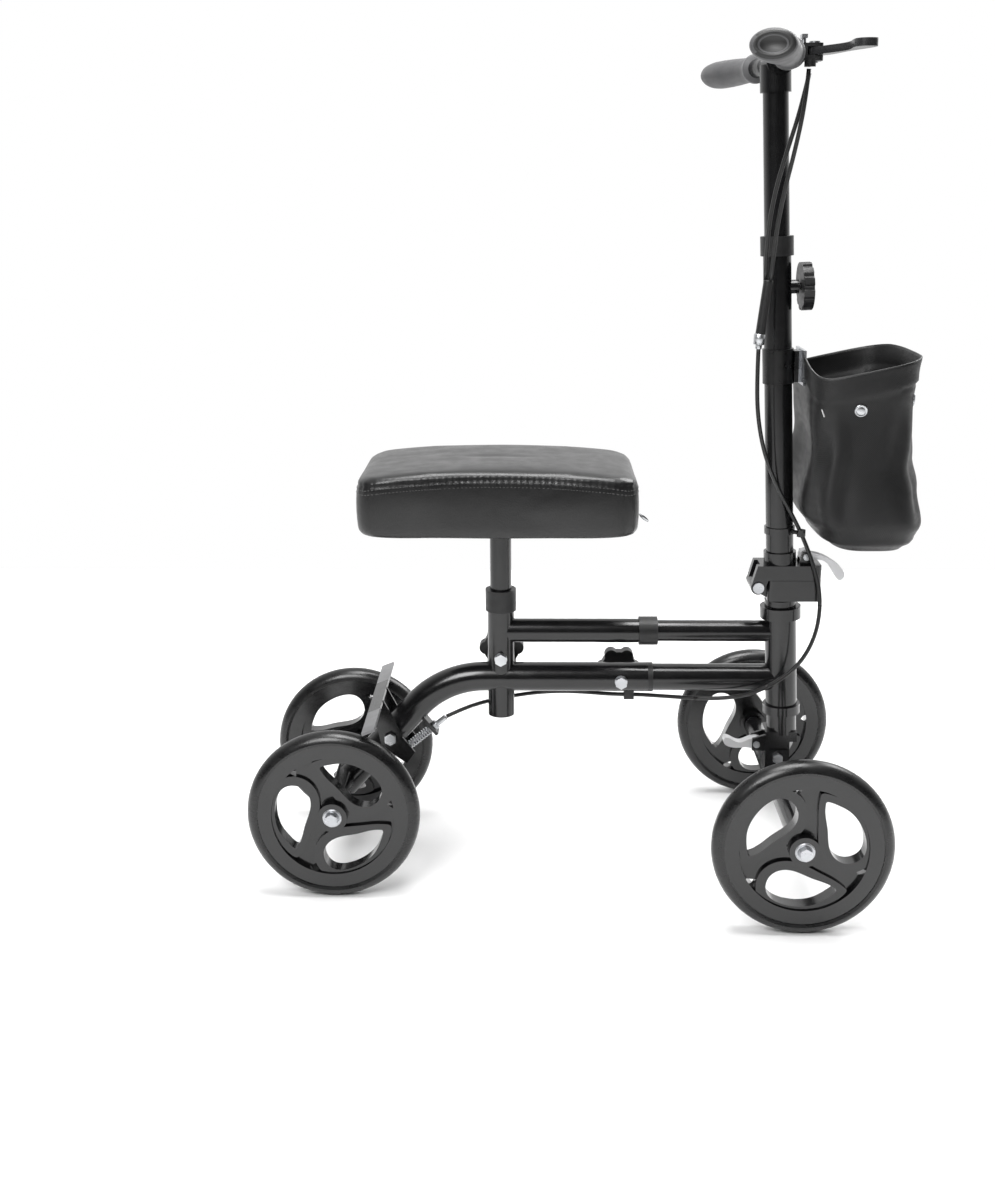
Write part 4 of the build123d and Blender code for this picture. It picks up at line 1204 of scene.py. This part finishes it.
@dataclass
class BrakeCable:
    """Brake cable in stretches, with its ferrule."""

    finishes: FrameFinishes
    radius: float = 0.0024
    upper_a: tuple[Point, ...] = ((521, -86, 930), (519, -83, 896), (512, -73, 848), (503, -60, 800),
                                  (497, -50, 752), (495, -43.5, 706))
    upper_b: tuple[Point, ...] = ((523, -78, 926), (516, -76, 890), (504, -66, 845), (494, -54, 800),
                                  (489, -44, 752), (490, -37, 706))
    column: tuple[Point, ...] = ((484, -40, 633), (483.5, -38, 590), (486.5, -34.5, 548), (496, -29, 506),
                                 (513, -24, 466), (531, -20, 434), (544.5, -19.5, 408), (557, -24, 376))
    frame: tuple[Point, ...] = ((557, -24, 376), (565, -27, 348), (566.5, -29, 318), (561, -31, 288),
                                (547, -33, 260), (527, -33, 240), (506, -29, 225), (484, -20, 212),
                                (458, -9, 204), (428, -2, 201.5), (393, 0, 203), (362, 0, 205.2),
                                (346, 0, 205.3))
    rear: tuple[Point, ...] = ((346, 0, 205.3), (322, 2, 205.2), (296, 6, 205.9), (268, 12, 205),
                               (240, 18, 201.5), (212, 21, 196.6), (188, 19, 192.4), (164, 12, 189),
                               (142, 5, 183), (125, 0.3, 176.3))

    def part(self, name: str, path: Sequence[Vector], start: Point, end: Point) -> bpy.types.Object:
        """Part of the long cable between the points nearest to two places.

        Args:
            name: Piece name.
            path: Points along the whole cable.
            start: First place, in millimetres.
            end: Last place, in millimetres.

        Returns:
            The stretch of cable.
        """
        first, last = (min(range(len(path)), key=lambda i: (path[i] - at(*spot)).length)
                       for spot in (start, end))
        tube = swept_tube(name, path[first:last + 1], self.radius, self.finishes.of(CABLE_SKIN))
        return tube

    def build(self) -> None:
        """Make every stretch of the cable and the ferrule."""
        for name, route in (("a", self.upper_a), ("b", self.upper_b)):
            path = smooth_route(f"upper_guide_{name}", [at(*p) for p in route])
            tube = swept_tube(f"lever_cable_{name}", path, self.radius, self.finishes.of(CABLE_SKIN))
            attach(tube, "stem")
            if name == "a":
                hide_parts("cable_upper")
        whole = smooth_route("main_guide", [at(*p) for p in self.column + self.frame[1:] + self.rear[1:]])
        clip, block, head = (541, -19.6, 415), (566, -28.5, 325), (508, -29.3, 226.5)
        mid_beam, beam_clip, tail = (428, -2.2, 202.2), (352, 0, 205.2), (125, 0.3, 176.3)
        for name, start, end, first, last, node in (
                ("column_cable", (484, -40, 633), clip, "stem", "column", "cable_column"),
                ("fold_cable", clip, block, "column", "fork", None),
                ("head_cable", block, head, "fork", "front_frame", None),
                ("beam_cable", mid_beam, beam_clip, "front_frame", "rear_frame", "cable_frame")):
            tube = self.part(name, whole, start, end)
            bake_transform(tube)
            if node:
                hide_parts(node)
        under = self.part("under_beam_cable", whole, head, mid_beam)
        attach(under, "front_frame")
        rear = self.part("rear_cable", whole, beam_clip, tail)
        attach(rear, "rear_frame")
        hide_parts("cable_rear")
        self.ferrule()
        LOG.info("brake cable: 8 stretches")

    def ferrule(self) -> None:
        """Bright ferrule under the splitter."""
        low, high = at(484, -40, 633), at(485, -40, 648)
        axis = (high - low).normalized()
        across = axis.cross(Vector((0, 1, 0))).normalized()
        third = axis.cross(across)
        rows = ((-0.004, 0.0031), (-0.0036, 0.0036), (0.001, 0.0038), (0.0012, 0.0062), (0.0125, 0.0064),
                (0.013, 0.0058), (0.0135, 0.0052))
        points = []
        for height, radius in rows:
            for step in range(24):
                turn = 2 * pi * step / 24
                points.append(low + axis * height + (across * cos(turn) + third * sin(turn)) * radius)
        piece = new_piece("cable_ferrule", points, ring_faces(len(rows), 24), [self.finishes.of(ZINC)])
        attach(piece, "stem")


@dataclass
class BrakeSpring:
    """Coiled return spring around the bare wire of the rear brake."""

    finishes: FrameFinishes
    turns: float = 10.0
    coil: float = 0.0048
    wire: float = 0.0007
    per_turn: int = 18

    def build(self) -> None:
        """Make the coil and the wire inside it, both stretched between frame and brake."""
        low, high = at(80.5, 0, 140.5), at(106.5, 0, 161.5)
        axis = (high - low).normalized()
        across = Vector((0, 1, 0))
        third = axis.cross(across)
        count = int(self.turns * self.per_turn)
        rings: list[Vector] = []
        for step in range(count + 1):
            turn = 2 * pi * step / self.per_turn
            centre = low + (high - low) * (step / count)
            outward = across * cos(turn) + third * sin(turn)
            for side in range(8):
                roll = 2 * pi * side / 8
                rings.append(centre + outward * (self.coil + self.wire * cos(roll))
                             + axis * (self.wire * sin(roll)))
        spring = new_piece("brake_return_spring", rings, ring_faces(count + 1, 8), [self.finishes.of(ZINC)])
        ends = (low - axis * 0.004, high + axis * 0.006)
        wire = swept_tube("brake_inner_wire", [ends[0].lerp(ends[1], step / 8) for step in range(9)],
                          0.0009, self.finishes.of(ZINC))
        for piece in (spring, wire):
            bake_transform(piece)
        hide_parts("brake_spring")
        LOG.info("brake spring: %d points", len(spring.data.vertices))


@dataclass
class HubShields:
    """Bright bearing shields around the axle bolts, on the outside of every wheel."""

    finishes: FrameFinishes
    axles: tuple[tuple[str, float, float], ...] = (("rear_frame", 0.0, 122.2), ("fork", 525.0, 200.2))

    def build(self) -> None:
        """Make the shields and put each pair on the body that holds the bearings."""
        ring = hidden_part("shield_ring", [(-0.001, 0.0106), (0.0004, 0.0106), (0.0008, 0.0098),
                                           (0.0008, 0.0086), (0.0003, 0.0076)], 32)
        repeater = Repeater("shield_tree", ring, self.finishes.of(ZINC))
        for body, x, reach in self.axles:
            places = [(at(x, side * reach, 100), Vector((0, side, 0)), Vector((1, 0, 0)))
                      for side in (-1, 1)]
            pair = repeater.build(f"{body}_bearing_shields", places)
            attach(pair, body)
        LOG.info("bearing shields: 4")


@dataclass
class Studio:
    """Pale floor, soft lights and the camera."""

    focal_px: float = 1422.0
    frame_px: float = 1200.0
    spot: Point = (-0.057, -1.638, 0.815)
    yaw: float = radians(-1.47)
    pitch: float = radians(10.91)
    roll: float = radians(-0.33)
    shift: float = -0.12
    dim: float = 0.05
    lamps: tuple[tuple[str, Point, float, float, float], ...] = (
        ("key", (-0.9, -1.9, 2.2), 0.4, 1.2, 60.0), ("rim", (1.2, 1.0, 1.8), 0.5, 1.2, 30.0),
        ("top", (0.0, -0.2, 2.8), 0.4, 1.4, 75.0))

    def floor(self) -> None:
        """Large pale floor."""
        shader = Shader("pale_floor", 0.6)
        shader.tint(shader.noise(0.7, 2.0), (0.86, 0.86, 0.86), (0.88, 0.88, 0.88))
        corners = [Vector((x, y, 0)) for x, y in ((-4, -4), (4, -4), (4, 1.3), (-4, 1.3))]
        new_piece("studio_floor", corners, [(0, 1, 2, 3)], [shader.material])

    def light(self, name: str, spot: Point, aim_height: float, size: float, power: float) -> None:
        """Square soft light aimed over the middle of the floor.

        Args:
            name: Light name.
            spot: Its place.
            aim_height: Height above the floor that it is aimed at.
            size: Side length.
            power: Power in watts.
        """
        data = bpy.data.lights.new(name, "AREA")
        data.size = size
        data.energy = power
        lamp = bpy.data.objects.new(name, data)
        lamp.location = spot
        lamp.rotation_euler = (Vector((0, 0, aim_height)) - Vector(spot)).to_track_quat("-Z", "Y").to_euler()
        bpy.context.scene.collection.objects.link(lamp)

    def camera(self) -> None:
        """Camera at the chosen viewing angle."""
        level = Vector((sin(self.yaw), cos(self.yaw), 0)) * cos(self.pitch)
        forward = level - Vector((0, 0, sin(self.pitch)))
        right = forward.cross(Vector((0, 0, 1))).normalized()
        up = right.cross(forward)
        rolled_right = right * cos(self.roll) + up * sin(self.roll)
        rolled_up = up * cos(self.roll) - right * sin(self.roll)
        data = bpy.data.cameras.new("studio_camera")
        data.lens = self.focal_px * 36 / self.frame_px
        data.sensor_width = 36
        data.shift_y = self.shift
        camera = bpy.data.objects.new("studio_camera", data)
        turn = Matrix((rolled_right, rolled_up, -forward)).transposed().to_4x4()
        camera.matrix_world = Matrix.Translation(self.spot) @ turn
        bpy.context.scene.collection.objects.link(camera)
        bpy.context.scene.camera = camera

    def backdrop(self, tree: bpy.types.NodeTree) -> None:
        """White backdrop behind the scooter that fades to a dim room behind the camera.

        Args:
            tree: Node tree of the world.
        """
        coordinates = tree.nodes.new("ShaderNodeTexCoord")
        parts = tree.nodes.new("ShaderNodeSeparateXYZ")
        fade = tree.nodes.new("ShaderNodeMapRange")
        for name, number in (("From Min", -0.35), ("From Max", 0.55), ("To Min", self.dim), ("To Max", 1.0)):
            fade.inputs[name].default_value = number
        background = tree.nodes["Background"]
        background.inputs["Color"].default_value = (1, 1, 1, 1)
        tree.links.new(coordinates.outputs["Generated"], parts.inputs["Vector"])
        tree.links.new(parts.outputs["Y"], fade.inputs["Value"])
        tree.links.new(fade.outputs["Result"], background.inputs["Strength"])

    def build(self) -> None:
        """Set up the whole studio."""
        self.floor()
        world = bpy.data.worlds.new("studio_white")
        world.use_nodes = True
        self.backdrop(world.node_tree)
        bpy.context.scene.world = world
        bpy.context.scene.view_settings.view_transform = "Standard"
        for name, spot, aim_height, size, power in self.lamps:
            self.light(name, spot, aim_height, size, power)
        self.camera()
        LOG.info("studio ready")


def main() -> None:
    """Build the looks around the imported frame."""
    logging.basicConfig(level=logging.INFO, format="%(name)s: %(message)s")
    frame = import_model()
    finishes = FrameFinishes()
    finishes.dress(frame)
    for assembly in (KneeRest(finishes), Basket(finishes), Grips(finishes), BrakeCable(finishes),
                     BrakeSpring(finishes), HubShields(finishes), Studio()):
        assembly.build()


if __name__ == "__main__":
    main()
